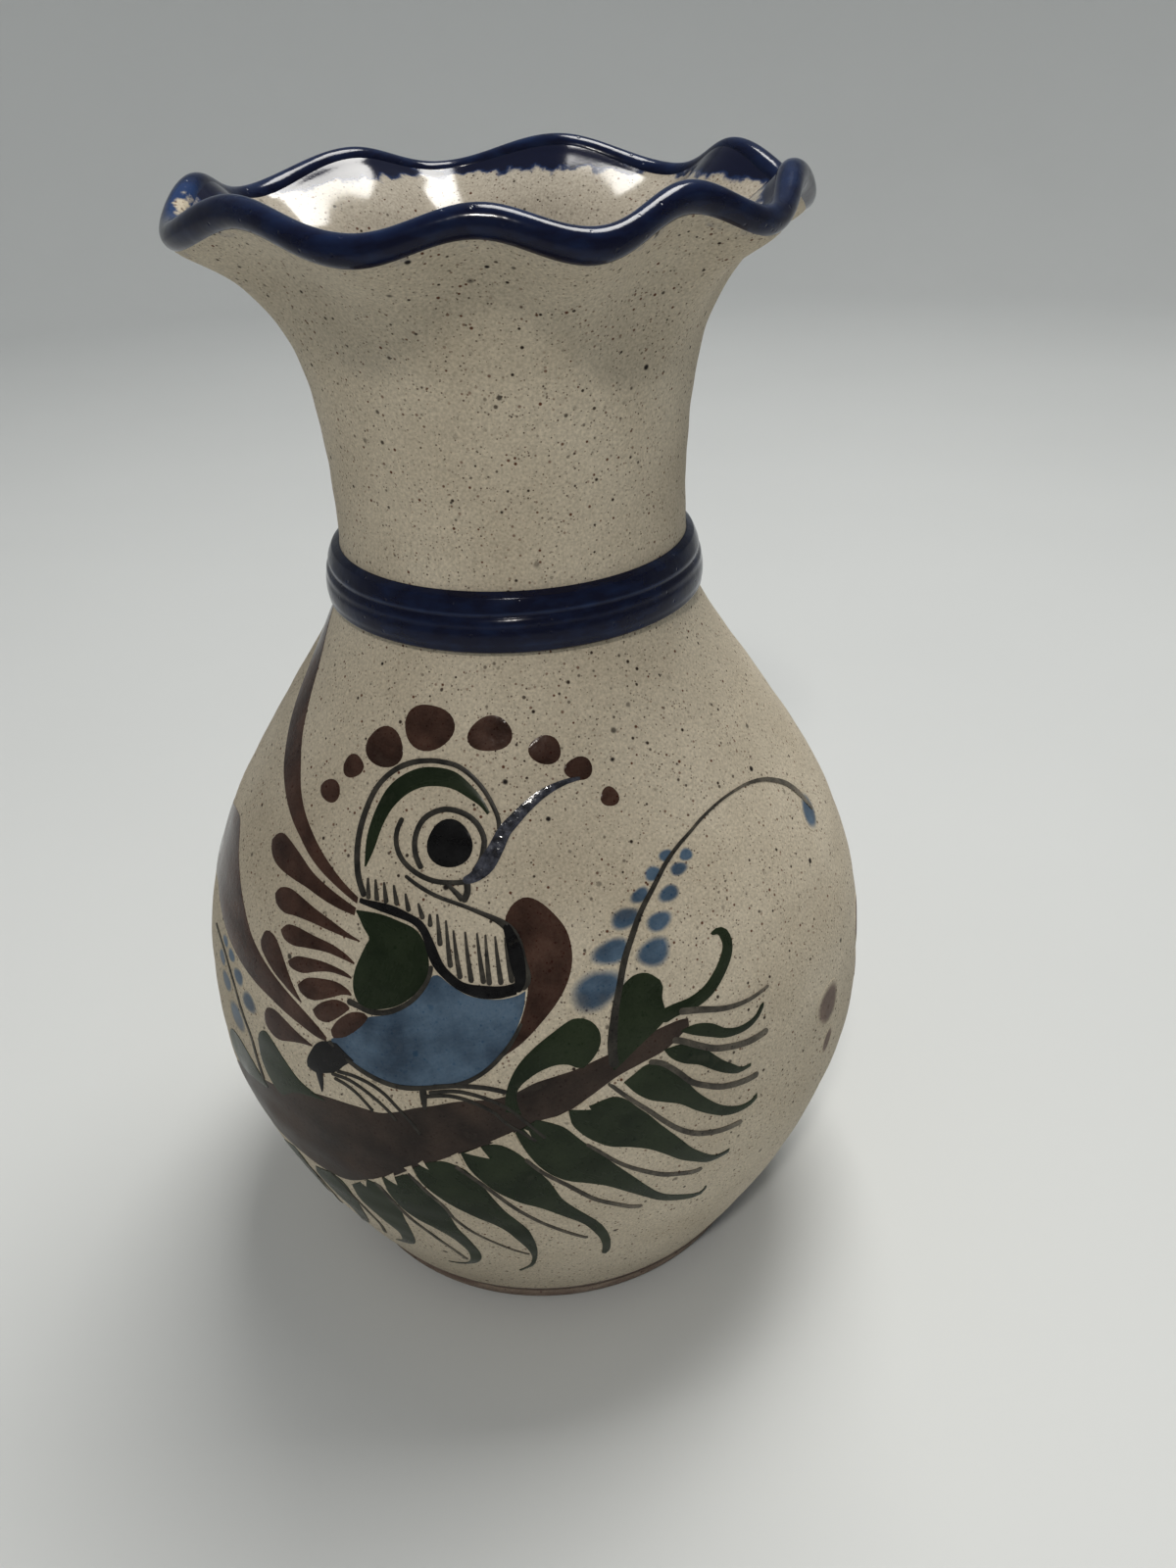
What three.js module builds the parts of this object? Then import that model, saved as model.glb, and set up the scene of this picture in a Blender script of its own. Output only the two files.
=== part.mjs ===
// Ruffled-mouth pottery vase with an applied collar, in millimetres, +Z up.
// The origin is the middle of the foot, on the surface that the vase stands on.
//
// The pot is built as a potter builds it: a turned foot ring, a floor disc, a
// bowl thrown up to the widest line, a shoulder that closes in above it, a neck,
// and a flared mouth pinched into eight waves. Two bands are applied round the
// neck and a rolled bead of clay finishes the mouth. Neighbours meet on level
// joint faces, except the bead, which follows the waves with a small gap.
import * as THREE from "three";

// Outline of the outside wall: [radius, height]. Joints fall on whole stations.
const WALL_STATIONS = [
  [49.4, 2.6], [53.2, 8], [64.4, 31], [71.4, 53], [72.8, 67], [71.0, 87], [63.9, 107],
  [52.5, 126], [41.2, 143], [37.2, 150], [35.6, 154.2], [33.7, 165], [33.5, 176],
  [34.5, 190], [37.2, 203], [43.4, 214.5], [51.6, 221.4],
];
const FLOOR_BOTTOM = 0;
const BOWL_BOTTOM = 1;
const WIDEST = 4;
const NECK_BOTTOM = 9;
const MOUTH_BOTTOM = 13;
const MOUTH_TOP = 16;

const WALL_AT_FOOT = 5.6;
const WALL_AT_MOUTH = 4.1;
const FLOOR_FILLET = 7;
const FLOOR_DISH = 1.6;

const FOOT_HEIGHT = 2.6;
const FOOT_OUTER = 47.8;
const FOOT_INNER = 40;
const FOOT_ROUND = 0.9;

// The collar's back is a straight taper that touches the neck at two stations.
const SEAT_BOTTOM = 10;
const SEAT_TOP = 11;
const COLLAR_SPLIT = 0.64;
const COLLAR_PROUD = 1.9;
const COLLAR_END = 0.7;
const RIDGE = 0.3;

const BEAD_RADIUS = 2.4;
const BEAD_LINE = [52.3, 224.7];
const BEAD_SIDES = 10;

// Hand-pinched waves: bearings of the eight crests and of the dips between them,
// in degrees from the front (-Y) towards +X.
const CRESTS = [-3, 33, 71, 116, 164, 213, 264, 313];
const DIPS = [15, 51, 92, 137, 192, 240, 288, 338];
const WAVE_HEIGHT = 2.4;
const WAVE_PINCH = 1.2;

const SIDES = 64;
const STEPS = 2;

// Outside of the pot: one smooth curve through the stations.
const wall = new THREE.SplineCurve(WALL_STATIONS.map(([r, z]) => new THREE.Vector2(r, z)));
const top = WALL_STATIONS[MOUTH_TOP][1];
const waveStart = WALL_STATIONS[MOUTH_BOTTOM][1];

// How far the waves are felt at a height: none at the mouth joint, all at the lip.
function waveShare(z) {
  return THREE.MathUtils.clamp((z - waveStart) / (top - waveStart), 0, 1) ** 2;
}

// A point of the outside wall and the matching point of the inside wall. The inside
// is level with the outside, so that joints are flat, and leans square to it
// towards the lip.
function wallPair(station) {
  const t = station / (WALL_STATIONS.length - 1);
  const outside = wall.getPoint(t);
  const along = wall.getTangent(t);
  const thick = THREE.MathUtils.lerp(WALL_AT_FOOT, WALL_AT_MOUTH, outside.y / top);
  const level = new THREE.Vector2(outside.x - thick / along.y, outside.y);
  const square = new THREE.Vector2(outside.x - thick * along.y, outside.y + thick * along.x);
  return [outside, level.lerp(square, waveShare(outside.y))];
}

// Closed section of the wall between two stations, counter-clockwise.
function wallSection(first, last) {
  const pairs = [];
  for (let i = 0; i <= (last - first) * STEPS; i += 1) pairs.push(wallPair(first + i / STEPS));
  const outside = pairs.map(([point]) => point);
  const inside = pairs.map(([, point]) => point).reverse();
  return [...outside, ...inside, outside[0].clone()];
}

function revolve(section) {
  return new THREE.LatheGeometry(section, SIDES).rotateX(Math.PI / 2);
}

// Height of the wave at a bearing: +1 on a crest and -1 in a dip, with a smooth
// cosine between neighbours.
function wave(bearing) {
  const turns = [];
  for (const lap of [-360, 0, 360]) {
    CRESTS.forEach((crest, i) => turns.push([crest + lap, 1], [DIPS[i] + lap, -1]));
  }
  const next = turns.findIndex(([angle]) => angle > bearing);
  const [from, level] = turns[next - 1];
  return level * Math.cos(((bearing - from) / (turns[next][0] - from)) * Math.PI);
}

// Pinches a turned geometry into waves: crests rise and draw in, dips fall and
// lean out. share gives how much of the wave each height takes.
function ruffle(geometry, share) {
  const at = geometry.attributes.position;
  for (let i = 0; i < at.count; i += 1) {
    const bearing = THREE.MathUtils.radToDeg(Math.atan2(at.getX(i), -at.getY(i)));
    const lift = wave(bearing) * share(at.getZ(i));
    const radius = Math.hypot(at.getX(i), at.getY(i));
    const scale = (radius - WAVE_PINCH * lift) / radius;
    at.setXYZ(i, at.getX(i) * scale, at.getY(i) * scale, at.getZ(i) + WAVE_HEIGHT * lift);
  }
  return geometry;
}

// Solid floor, dished a little inside, with a fillet where the bowl starts.
function floorDisc() {
  const [outerLow] = wallPair(FLOOR_BOTTOM);
  const [outerHigh, innerHigh] = wallPair(BOWL_BOTTOM);
  const floor = innerHigh.y - FLOOR_DISH;
  const section = new THREE.Path();
  section.moveTo(0, outerLow.y);
  section.lineTo(outerLow.x, outerLow.y);
  section.lineTo(outerHigh.x, outerHigh.y);
  section.lineTo(innerHigh.x, innerHigh.y);
  section.quadraticCurveTo(innerHigh.x - FLOOR_FILLET / 2, floor, innerHigh.x - FLOOR_FILLET, floor);
  section.lineTo(0, floor);
  return revolve(section.getPoints(3));
}

// Ring turned under the floor, with rounded standing edges.
function footRing() {
  const section = new THREE.Path();
  section.moveTo(FOOT_INNER, FOOT_HEIGHT);
  section.lineTo(FOOT_INNER, FOOT_ROUND);
  section.quadraticCurveTo(FOOT_INNER, 0, FOOT_INNER + FOOT_ROUND, 0);
  section.lineTo(FOOT_OUTER - FOOT_ROUND, 0);
  section.quadraticCurveTo(FOOT_OUTER, 0, FOOT_OUTER + FOOT_ROUND / 2, FOOT_ROUND);
  section.lineTo(WALL_STATIONS[FLOOR_BOTTOM][0], FOOT_HEIGHT);
  section.closePath();
  return revolve(section.getPoints(3));
}

// One applied band: its back lies on the neck between two shares of the seat, and
// its face is a row of soft ridges.
function collarBand(low, high, ridges) {
  const bottom = new THREE.Vector2(...WALL_STATIONS[SEAT_BOTTOM]);
  const seat = new THREE.Vector2(...WALL_STATIONS[SEAT_TOP]).sub(bottom);
  const back = (share) => bottom.clone().addScaledVector(seat, share);
  const section = [back(high), back(low)];
  const steps = ridges * 4;
  for (let i = 0; i <= steps; i += 1) {
    const share = THREE.MathUtils.lerp(low, high, i / steps);
    const crown = Math.sqrt(Math.max(0, Math.sin(Math.PI * share)));
    const ridge = RIDGE * Math.abs(Math.sin((Math.PI * ridges * i) / steps));
    const proud = THREE.MathUtils.lerp(COLLAR_END, COLLAR_PROUD, crown) + ridge;
    section.push(back(share).add(new THREE.Vector2(proud, 0)));
  }
  section.push(section[0].clone());
  return revolve(section);
}

// Rolled bead: a round section on the rim line, pinched with the mouth.
function rimBead() {
  const section = [];
  for (let i = 0; i <= BEAD_SIDES; i += 1) {
    const angle = (2 * Math.PI * (i % BEAD_SIDES)) / BEAD_SIDES;
    const point = new THREE.Vector2(Math.cos(angle), Math.sin(angle)).multiplyScalar(BEAD_RADIUS);
    section.push(point.add(new THREE.Vector2(...BEAD_LINE)));
  }
  return ruffle(revolve(section), () => 1);
}

const clay = { color: 0x9a9080, roughness: 0.72, metalness: 0 };
const cobalt = { color: 0x0b141f, roughness: 0.14, metalness: 0 };
const brownSlip = { color: 0x57423d, roughness: 0.55, metalness: 0 };

const vase = new THREE.Group();
function add(name, geometry, finish) {
  const mesh = new THREE.Mesh(geometry, new THREE.MeshStandardMaterial(finish));
  mesh.name = name;
  vase.add(mesh);
}

add("foot_ring", footRing(), brownSlip);
add("floor_disc", floorDisc(), clay);
add("lower_bowl", revolve(wallSection(BOWL_BOTTOM, WIDEST)), clay);
add("shoulder", revolve(wallSection(WIDEST, NECK_BOTTOM)), clay);
add("neck", revolve(wallSection(NECK_BOTTOM, MOUTH_BOTTOM)), clay);
add("ruffled_mouth", ruffle(revolve(wallSection(MOUTH_BOTTOM, MOUTH_TOP)), waveShare), clay);
add("collar_lower_band", collarBand(0, COLLAR_SPLIT, 2), cobalt);
add("collar_upper_band", collarBand(COLLAR_SPLIT, 1, 1), cobalt);
add("rim_bead", rimBead(), cobalt);

export default vase;
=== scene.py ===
import bmesh
import bpy
import numpy as np
from mathutils import Matrix


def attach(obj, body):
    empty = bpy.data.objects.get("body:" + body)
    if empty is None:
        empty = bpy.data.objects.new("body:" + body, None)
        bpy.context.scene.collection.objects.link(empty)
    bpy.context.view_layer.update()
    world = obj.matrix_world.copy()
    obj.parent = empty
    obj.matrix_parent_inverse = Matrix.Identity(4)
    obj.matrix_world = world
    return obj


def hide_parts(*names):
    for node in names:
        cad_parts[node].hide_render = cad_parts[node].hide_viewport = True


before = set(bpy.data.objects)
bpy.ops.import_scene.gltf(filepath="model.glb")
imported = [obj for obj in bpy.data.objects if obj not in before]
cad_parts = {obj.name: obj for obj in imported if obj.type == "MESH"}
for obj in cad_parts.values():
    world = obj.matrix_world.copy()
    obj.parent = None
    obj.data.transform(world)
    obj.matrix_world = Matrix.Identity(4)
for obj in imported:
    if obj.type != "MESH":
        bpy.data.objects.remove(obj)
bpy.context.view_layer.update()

# The wall.
# Foot, bowl, shoulder, neck and mouth are thrown as one wall of pale stoneware, 5.6 mm thick at
# the foot and 4.1 mm at the lip. Sizes are in mm, bearings in degrees from the front to the right.

# Radius and height of the outside at the potter's stations; the joints fall on some of them.
WALL = [
    (49.4, 2.6), (53.2, 8), (64.4, 31), (71.4, 53), (72.8, 67), (71.0, 87), (63.9, 107),
    (52.5, 126), (41.2, 143), (37.2, 150), (35.6, 154.2), (33.7, 165), (33.5, 176),
    (34.5, 190), (37.2, 203), (43.4, 214.5), (51.6, 221.4),
]
STATION_ROWS = 14
THICK_AT_FOOT, THICK_AT_LIP = 5.6, 4.1
TURNS = 288

# The hand-pinched waves: bearing, and how far the rim's middle line rises or falls there.
CRESTS = [(-3, 1.3), (33, 2.2), (71, 2.0), (116, 3.0), (164, 2.9), (213, 2.3), (264, 1.9), (313, 1.9)]
DIPS = [
    (15, -2.5), (51, -2.4), (92, -3.0), (137, -2.6), (192, -1.3), (240, -2.5), (288, -2.9),
    (338, -2.2),
]
WAVE_FROM, WAVE_PINCH = 190.0, 0.5
# From the outside of the lip to the inside, the wall runs on into the rolled bead.
LIP = [(52.6, 222.15), (53.5, 223.3), (52.4, 225.4), (51.0, 226.15), (49.95, 225.42)]


def spline(points, rows):
    """Curve through the points: each span is a cubic whose slope at a point is half the step
    between its neighbours, with `rows` steps to a span and the end points counted twice."""
    p = np.asarray(points, float)
    p = np.concatenate([p[:1], p, p[-1:]])
    a, b, c, d = p[:-3, None], p[1:-2, None], p[2:-1, None], p[3:, None]
    t = (np.arange(rows) / rows)[None, :, None]
    cubic = (c - a) * t + (2 * a - 5 * b + 4 * c - d) * t**2 + (3 * b - a - 3 * c + d) * t**3
    return np.concatenate([(b + cubic / 2).reshape(-1, p.shape[1]), p[-1:]])


outline = spline(WALL, STATION_ROWS)
slope = np.gradient(outline, axis=0)
slope /= np.linalg.norm(slope, axis=1)[:, None]
run = np.concatenate([[0], np.cumsum(np.linalg.norm(np.diff(outline, axis=0), axis=1))])
thick = THICK_AT_FOOT + (THICK_AT_LIP - THICK_AT_FOOT) * outline[:, 1] / WALL[-1][1]
share = np.clip((outline[:, 1] - WAVE_FROM) / (WALL[-1][1] - WAVE_FROM), 0, 1) ** 2
level = np.stack([outline[:, 0] - thick / slope[:, 1], outline[:, 1]], 1)
square = outline + thick[:, None] * np.stack([-slope[:, 1], slope[:, 0]], 1)
lining = level + (square - level) * share[:, None]


def ripple(bearing, height):
    """Faint rise and fall left by the potter's fingers: two slow sine waves up the wall that
    drift round it, less than a tenth of a millimetre deep."""
    turn = np.radians(bearing)
    low = np.sin(2 * np.pi * height / 13.0 + 1.3 * np.sin(turn + 0.6))
    return 0.05 * low + 0.035 * np.sin(2 * np.pi * height / 7.3 + 2 * np.cos(turn))


def wave(bearing):
    """Rise of the rim at each bearing: half a cosine between neighbouring crests and dips."""
    marks = sorted((b + lap, rise) for b, rise in CRESTS + DIPS for lap in (-360, 0, 360))
    at, rise = np.array(marks).T
    here = np.searchsorted(at, bearing, side="right") - 1
    t = (bearing - at[here]) / (at[here + 1] - at[here])
    return rise[here] + (rise[here + 1] - rise[here]) * (1 - np.cos(np.pi * t)) / 2


def place(bearing, radius, height):
    """Points at a bearing, radius and height."""
    turn = np.radians(bearing)
    spot = np.broadcast_arrays(radius * np.sin(turn), -radius * np.cos(turn), height)
    return np.stack(spot, -1)


def close_ring(grid):
    """Quads of a grid of points whose rows and columns both run back to their start."""
    at = np.arange(grid.shape[0] * grid.shape[1]).reshape(grid.shape[:2])
    right, up = np.roll(at, -1, 1), np.roll(at, -1, 0)
    return np.stack([at, right, np.roll(up, -1, 1), up], -1).reshape(-1, 4)


def facing_out(points, quads):
    """The quads turned so that the volume they close, summed by signed tetrahedra, is positive."""
    a, b, c, d = (points[quads[:, i]] for i in range(4))
    volume = (np.cross(a, b) * c + np.cross(a, c) * d).sum()
    return quads if volume > 0 else quads[:, ::-1]


def close_points(mesh):
    """Welds points that fall on one spot, at a pole or a brush tip, and drops edges left bare."""
    whole = bmesh.new()
    whole.from_mesh(mesh)
    bmesh.ops.remove_doubles(whole, verts=whole.verts, dist=1e-7)
    bare = [edge for edge in whole.edges if not edge.link_faces]
    bmesh.ops.delete(whole, geom=bare, context="EDGES")
    whole.to_mesh(mesh)
    whole.free()


def ring_shell(ring, **fields):
    """A closed shell from a grid of points that runs round in both directions, with its fields."""
    spread = {key: np.broadcast_to(value, ring.shape[:2]).ravel() for key, value in fields.items()}
    return ring.reshape(-1, 3), close_ring(ring), None, spread


def make_piece(name, shells, finish, slot, sharp=40, **stands_for):
    """One object from closed shells of (points in mm, quads, uv or None, {field: values}). Fields
    are stored on the points. Edges that turn more than `sharp` degrees stay crisp. `node` names
    the CAD node that the piece replaces."""
    starts = np.cumsum([0] + [len(shell[0]) for shell in shells])
    points = np.concatenate([shell[0] for shell in shells])
    quads = np.concatenate([facing_out(s[0], s[1]) + at for s, at in zip(shells, starts)])
    mesh = bpy.data.meshes.new(name)
    mesh.vertices.add(len(points))
    mesh.vertices.foreach_set("co", (points * 0.001).astype(np.float32).ravel())
    mesh.loops.add(quads.size)
    mesh.loops.foreach_set("vertex_index", quads.astype(np.int32).ravel())
    mesh.polygons.add(len(quads))
    mesh.polygons.foreach_set("loop_start", np.arange(0, quads.size, 4, dtype=np.int32))
    if shells[0][2] is not None:
        uv = np.concatenate([shell[2] for shell in shells])[quads.ravel()]
        mesh.uv_layers.new(name="brush").data.foreach_set("uv", uv.astype(np.float32).ravel())
    for field in shells[0][3]:
        values = np.concatenate([shell[3][field] for shell in shells]).astype(np.float32)
        mesh.attributes.new(field, "FLOAT", "POINT").data.foreach_set("value", values)
    mesh.update(calc_edges=True)
    mesh.validate()
    close_points(mesh)
    mesh.shade_smooth()
    mesh.set_sharp_from_angle(angle=np.radians(sharp))
    piece = bpy.data.objects.new(name, mesh)
    bpy.context.scene.collection.objects.link(piece)
    mesh.materials.append(finish)
    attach(piece, "root")
    if "node" in stands_for:
        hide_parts(stands_for["node"])


def linear(hex_colour):
    """An sRGB hex colour as linear light with full alpha."""
    level = np.array([int(hex_colour[i : i + 2], 16) for i in (1, 3, 5)]) / 255
    return (*np.where(level <= 0.04045, level / 12.92, ((level + 0.055) / 1.055) ** 2.4), 1)


def node(tree, kind, inputs=(), **settings):
    """Adds a node. Settings go on the node; each input is a value or another node's output."""
    made = tree.nodes.new(kind)
    for key, value in settings.items():
        setattr(made, key, value)
    for key, value in dict(inputs).items():
        if isinstance(value, bpy.types.NodeSocket):
            tree.links.new(value, made.inputs[key])
        else:
            made.inputs[key].default_value = value
    return made


def object_spot(tree):
    """The place on the object, in metres."""
    return node(tree, "ShaderNodeTexCoord").outputs["Object"]


def attribute(tree, name):
    """A field stored on the mesh."""
    return node(tree, "ShaderNodeAttribute", attribute_name=name).outputs["Fac"]


def noise(tree, spot, size, detail):
    """Cloudy noise between 0 and 1, with lumps about `size` mm across."""
    inputs = {"Vector": spot, "Scale": 1000 / size, "Detail": detail}
    return node(tree, "ShaderNodeTexNoise", inputs).outputs[0]


def remap(tree, value, given=(0, 1), wanted=(0, 1), smooth=False):
    """A value carried from one range to another and held in it, straight or by a smooth step."""
    ends = {0: value, 1: given[0], 2: given[1], 3: wanted[0], 4: wanted[1]}
    step = "SMOOTHSTEP" if smooth else "LINEAR"
    return node(tree, "ShaderNodeMapRange", ends, interpolation_type=step).outputs[0]


def maths(tree, operation, first, second, **settings):
    """Two values put together by a named operation."""
    inputs = {0: first, 1: second}
    return node(tree, "ShaderNodeMath", inputs, operation=operation, **settings).outputs[0]


def tinted(tree, colour, tint):
    """A colour multiplied by another, or by a plain value."""
    return node(tree, "ShaderNodeVectorMath", {0: colour, 1: tint}, operation="MULTIPLY").outputs[0]


def blend(tree, share, low, high):
    """The low colour where the share is 0 and the high one where it is 1. Either may be hex."""
    low, high = (linear(end) if isinstance(end, str) else end for end in (low, high))
    return node(tree, "ShaderNodeMix", {0: share, 6: low, 7: high}, data_type="RGBA").outputs[2]


# Fired stoneware: warm grey, dry and matte, with a faint cloud of tone 25 mm across, a fine
# grain of 0.5 mm, and iron specks that bleed out in four sizes.
CLAY_PALE, CLAY_DEEP = "#c9bfad", "#b8ad9a"
CLOUD_SIZE, GRAIN_SIZE = 25, 0.5
GRAIN_SHADE = (0.8, 1.14)
# Mean spacing and largest radius in mm, colour, and how dark the boldest speck is.
SPECKS = [
    (0.55, 0.25, "#54453a", 0.95),
    (1.1, 0.4, "#5e3a27", 1.0),
    (1.6, 0.47, "#34281f", 1.0),
    (3.9, 0.8, "#211915", 1.0),
]
# A speck is solid out to this share of its radius, and its strength follows a range of chance.
SPECK_CORE, SPECK_CHANCE = 0.45, (0.2, 0.9)
# The range that nearly all of a noise falls in.
BULK = (0.3, 0.7)
DRY_ROUGHNESS, CLAY_GRIT = 0.82, 0.05


def fired_clay(tree):
    """Colour and relief of bare clay: two tones mixed by slow noise, darkened by grain, then
    by round specks about the points of four cell patterns, each with its own size and depth."""
    spot = object_spot(tree)
    tone = remap(tree, noise(tree, spot, CLOUD_SIZE, 5.0), BULK)
    grain = noise(tree, spot, GRAIN_SIZE, 3.0)
    shade = remap(tree, grain, BULK, GRAIN_SHADE)
    colour = tinted(tree, blend(tree, tone, CLAY_DEEP, CLAY_PALE), shade)
    relief = grain
    for spacing, largest, iron, depth in SPECKS:
        cells = node(tree, "ShaderNodeTexVoronoi", {"Vector": spot, "Scale": 1000 / spacing}).outputs
        chance = node(tree, "ShaderNodeSeparateColor", {0: cells["Color"]}).outputs
        radius = maths(tree, "MULTIPLY", chance[0], largest / spacing)
        core = maths(tree, "MULTIPLY", radius, SPECK_CORE)
        spread = remap(tree, cells["Distance"], (core, radius), (1, 0), smooth=True)
        speck = maths(tree, "MULTIPLY", spread, remap(tree, chance[1], SPECK_CHANCE, (0, depth)))
        colour = blend(tree, speck, colour, iron)
        relief = maths(tree, "SUBTRACT", relief, speck)
    return colour, relief


def new_finish(name):
    """A material with an empty tree, and its shader joined to the output."""
    finish = bpy.data.materials.new(name)
    finish.use_nodes = True
    tree = finish.node_tree
    tree.nodes.clear()
    shader = node(tree, "ShaderNodeBsdfPrincipled", {"IOR": 1.5})
    node(tree, "ShaderNodeOutputMaterial", {"Surface": shader.outputs[0]})
    return finish, tree, shader


def set_surface(tree, shader, colour, roughness, relief, depth):
    """Joins colour, roughness and a relief of `depth` mm to the shader."""
    bump = node(tree, "ShaderNodeBump", {"Height": relief, "Strength": 1.0, "Distance": depth / 1000})
    tree.links.new(colour, shader.inputs["Base Color"])
    tree.links.new(roughness, shader.inputs["Roughness"])
    tree.links.new(bump.outputs[0], shader.inputs["Normal"])


# The outside stays dry; the inside has a clear glaze, which shines and deepens the tone a little, and a
# little painted shade darkens it further.
# Cobalt glaze brushed on the lip runs over both in ragged tongues.
COBALT_DEEP, COBALT_THIN = "#0a102c", "#223a63"
TONGUE_SIZE, TONGUE_REACH = 3.5, 1.1
# Over these spans in mm, counted from its reach, the cobalt covers the clay and deepens. On the
# dry outside its tongues have only this share of their length.
COVER_SPAN, DEPTH_SPAN, DRY_TONGUES = (-0.45, 0.45), (-0.1, 0.9), 0.35
GLAZED_ROUGHNESS, GLAZED_GRIT = 0.13, 0.12
# Inside, the colour is darkened by about a fifth, more in the red than in the blue: partly the clear
# glaze's tint, partly painted shade for the inside of the mouth.
GLAZE_TINT_AND_PAINTED_SHADE = (0.79, 0.81, 0.86)

stoneware, tree, shader = new_finish("speckled_stoneware_clear_glazed_inside")
clay, grit = fired_clay(tree)
glazed = attribute(tree, "glazed")
tongues = noise(tree, object_spot(tree), TONGUE_SIZE, 4.0)
rag = remap(tree, tongues, BULK, (-TONGUE_REACH, TONGUE_REACH))
rag = maths(tree, "MULTIPLY", rag, remap(tree, glazed, wanted=(DRY_TONGUES, 1)))
edge = maths(tree, "ADD", attribute(tree, "cobalt_reach"), rag)
cover = remap(tree, edge, COVER_SPAN, smooth=True)
glaze = blend(tree, remap(tree, edge, DEPTH_SPAN), COBALT_THIN, COBALT_DEEP)
# The lining's tint darkens the inside, partly as the glaze does and partly as painted shade.
tints = {0: glazed, 4: (1, 1, 1), 5: GLAZE_TINT_AND_PAINTED_SHADE}
inside_tint_and_shade = node(tree, "ShaderNodeMix", tints, data_type="VECTOR").outputs[1]
colour = blend(tree, cover, tinted(tree, clay, inside_tint_and_shade), glaze)
wet = maths(tree, "MAXIMUM", glazed, cover)
roughness = remap(tree, wet, wanted=(DRY_ROUGHNESS, GLAZED_ROUGHNESS))
relief = maths(tree, "MULTIPLY", grit, remap(tree, wet, wanted=(1, GLAZED_GRIT)))
set_surface(tree, shader, colour, roughness, relief, CLAY_GRIT)

bearings = np.arange(TURNS) * 360 / TURNS
rise = wave(bearings)[:, None]
# Cobalt reaches 3 to 5 mm down the inside of a crest and not past the bead in a dip, and
# outside it stops under the bead. It is wiped short about these bearings at both sides.
REACH_OUTSIDE, REACH_INSIDE, REACH_BY_RISE = -0.45, 1.8, 0.95
WIPED_AT, WIPED_HALF, WIPED_SHARE = 80, 13, 0.9


def at_sides(middle, half):
    """A bell of 1 at a bearing on both sides of the front, falling off over `half` degrees."""
    off_front = np.abs((bearings + 180) % 360 - 180)
    return np.exp(-(((off_front - middle) / half) ** 2))[:, None]


def wall_piece(name, first, last):
    """Closed ring of wall between two stations. Each bearing carries the outside upwards and
    the lining back down; near the lip both rise and draw in with the waves."""
    rows = slice(first * STATION_ROWS, last * STATION_ROWS + 1)
    lip = np.array(LIP if last == len(WALL) - 1 else []).reshape(-1, 2)
    section = np.concatenate([outline[rows], lip, lining[rows][::-1]])
    felt = np.concatenate([share[rows], np.ones(len(lip)), share[rows][::-1]])
    to_lip = np.concatenate([run[-1] - run[rows], 0 * lip[:, 0], (run[-1] - run[rows])[::-1]])
    outer = np.arange(len(section)) < len(outline[rows]) + len(lip) / 2
    radius, height = section.T
    lifted = height + rise * felt
    radii = radius - WAVE_PINCH * rise * felt + ripple(bearings[:, None], height) * outer
    inside = (REACH_INSIDE + REACH_BY_RISE * rise) * (1 - WIPED_SHARE * at_sides(WIPED_AT, WIPED_HALF))
    reach = np.where(outer, REACH_OUTSIDE, inside) - to_lip
    ring = place(bearings[:, None], radii, lifted)
    shell = ring_shell(ring, glazed=~outer, cobalt_reach=reach)
    make_piece(name + "_wall", [shell], stoneware, "speckled_clay", node=name)


wall_piece("lower_bowl", 1, 4)
wall_piece("shoulder", 4, 9)
wall_piece("neck", 9, 13)
wall_piece("ruffled_mouth", 13, 16)

# The floor.
# A flat disc left under the bowl, dished 1.6 mm inside, with a 7 mm fillet up to the wall. The
# foot ring is trimmed from the same clay, and its outside is banded with thin brown slip.
FILLET, DISH = 7.0, 1.6
FOOT_INNER, FOOT_HEIGHT, FOOT_ROUND = 40.0, 2.6, 0.9
# The ring stands on a flat that ends at the first radius, and swells out to the second.
FOOT_FLAT, FOOT_SWELL, SWELL_UP = 46.9, 50.1, 1.3
# The lap of slip up the wall: its height and rows of points, then how thick it is there and how
# deep its upper edge and its back are sunk in the clay.
LAP_HEIGHT, LAP_ROWS = 4, 6
LAP_THICK, LAP_UNDER, LAP_BACK = 0.09, 0.02, 0.25
# A reach this far below zero leaves the floor free of cobalt.
NO_COBALT = -50.0
# Colour of the band, how thick it lies, and the size and flattening of its streaks.
BAND_BROWN, BAND_LOAD = "#5b4842", (0.6, 0.9)
STREAK_SIZE, STREAK_FLAT = 8, (1.0, 1.0, 9.0)


def arc(start, corner, end, count):
    """Points of the curve from start to end that bends towards the corner, weighted by squares."""
    t = np.linspace(0, 1, count)[:, None]
    start, corner, end = map(np.array, (start, corner, end))
    return (1 - t) ** 2 * start + 2 * t * (1 - t) * corner + t**2 * end


def turned(section):
    """Ring of points that carries a closed section of (radius, height) round the axis."""
    section = np.asarray(section, float)
    return place(bearings[:, None], section[:, 0], section[:, 1])


inner_radius, inner_top = lining[STATION_ROWS]
floor_top = inner_top - DISH
flat_radius = inner_radius - FILLET
turn_in = arc(
    (inner_radius, inner_top), (inner_radius - FILLET / 2, floor_top), (flat_radius, floor_top), 10
)
wall_foot = outline[: STATION_ROWS + 1]
fade = np.linspace(1, 0, 24)[1:]
across_top = np.stack([flat_radius * fade, floor_top + 0 * fade], 1)
across_under = np.stack([(WALL[0][0] * fade)[::-1], WALL[0][1] + 0 * fade], 1)
section = np.concatenate([wall_foot, turn_in, across_top, across_under[:-1]])
ring = turned(section)
inside_row = np.zeros(len(section))
inside_row[len(wall_foot) : len(wall_foot) + len(turn_in) + len(across_top)] = 1
shell = ring_shell(ring, glazed=inside_row, cobalt_reach=NO_COBALT)
make_piece("floor_disc_clay", [shell], stoneware, "speckled_clay", node="floor_disc")

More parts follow.
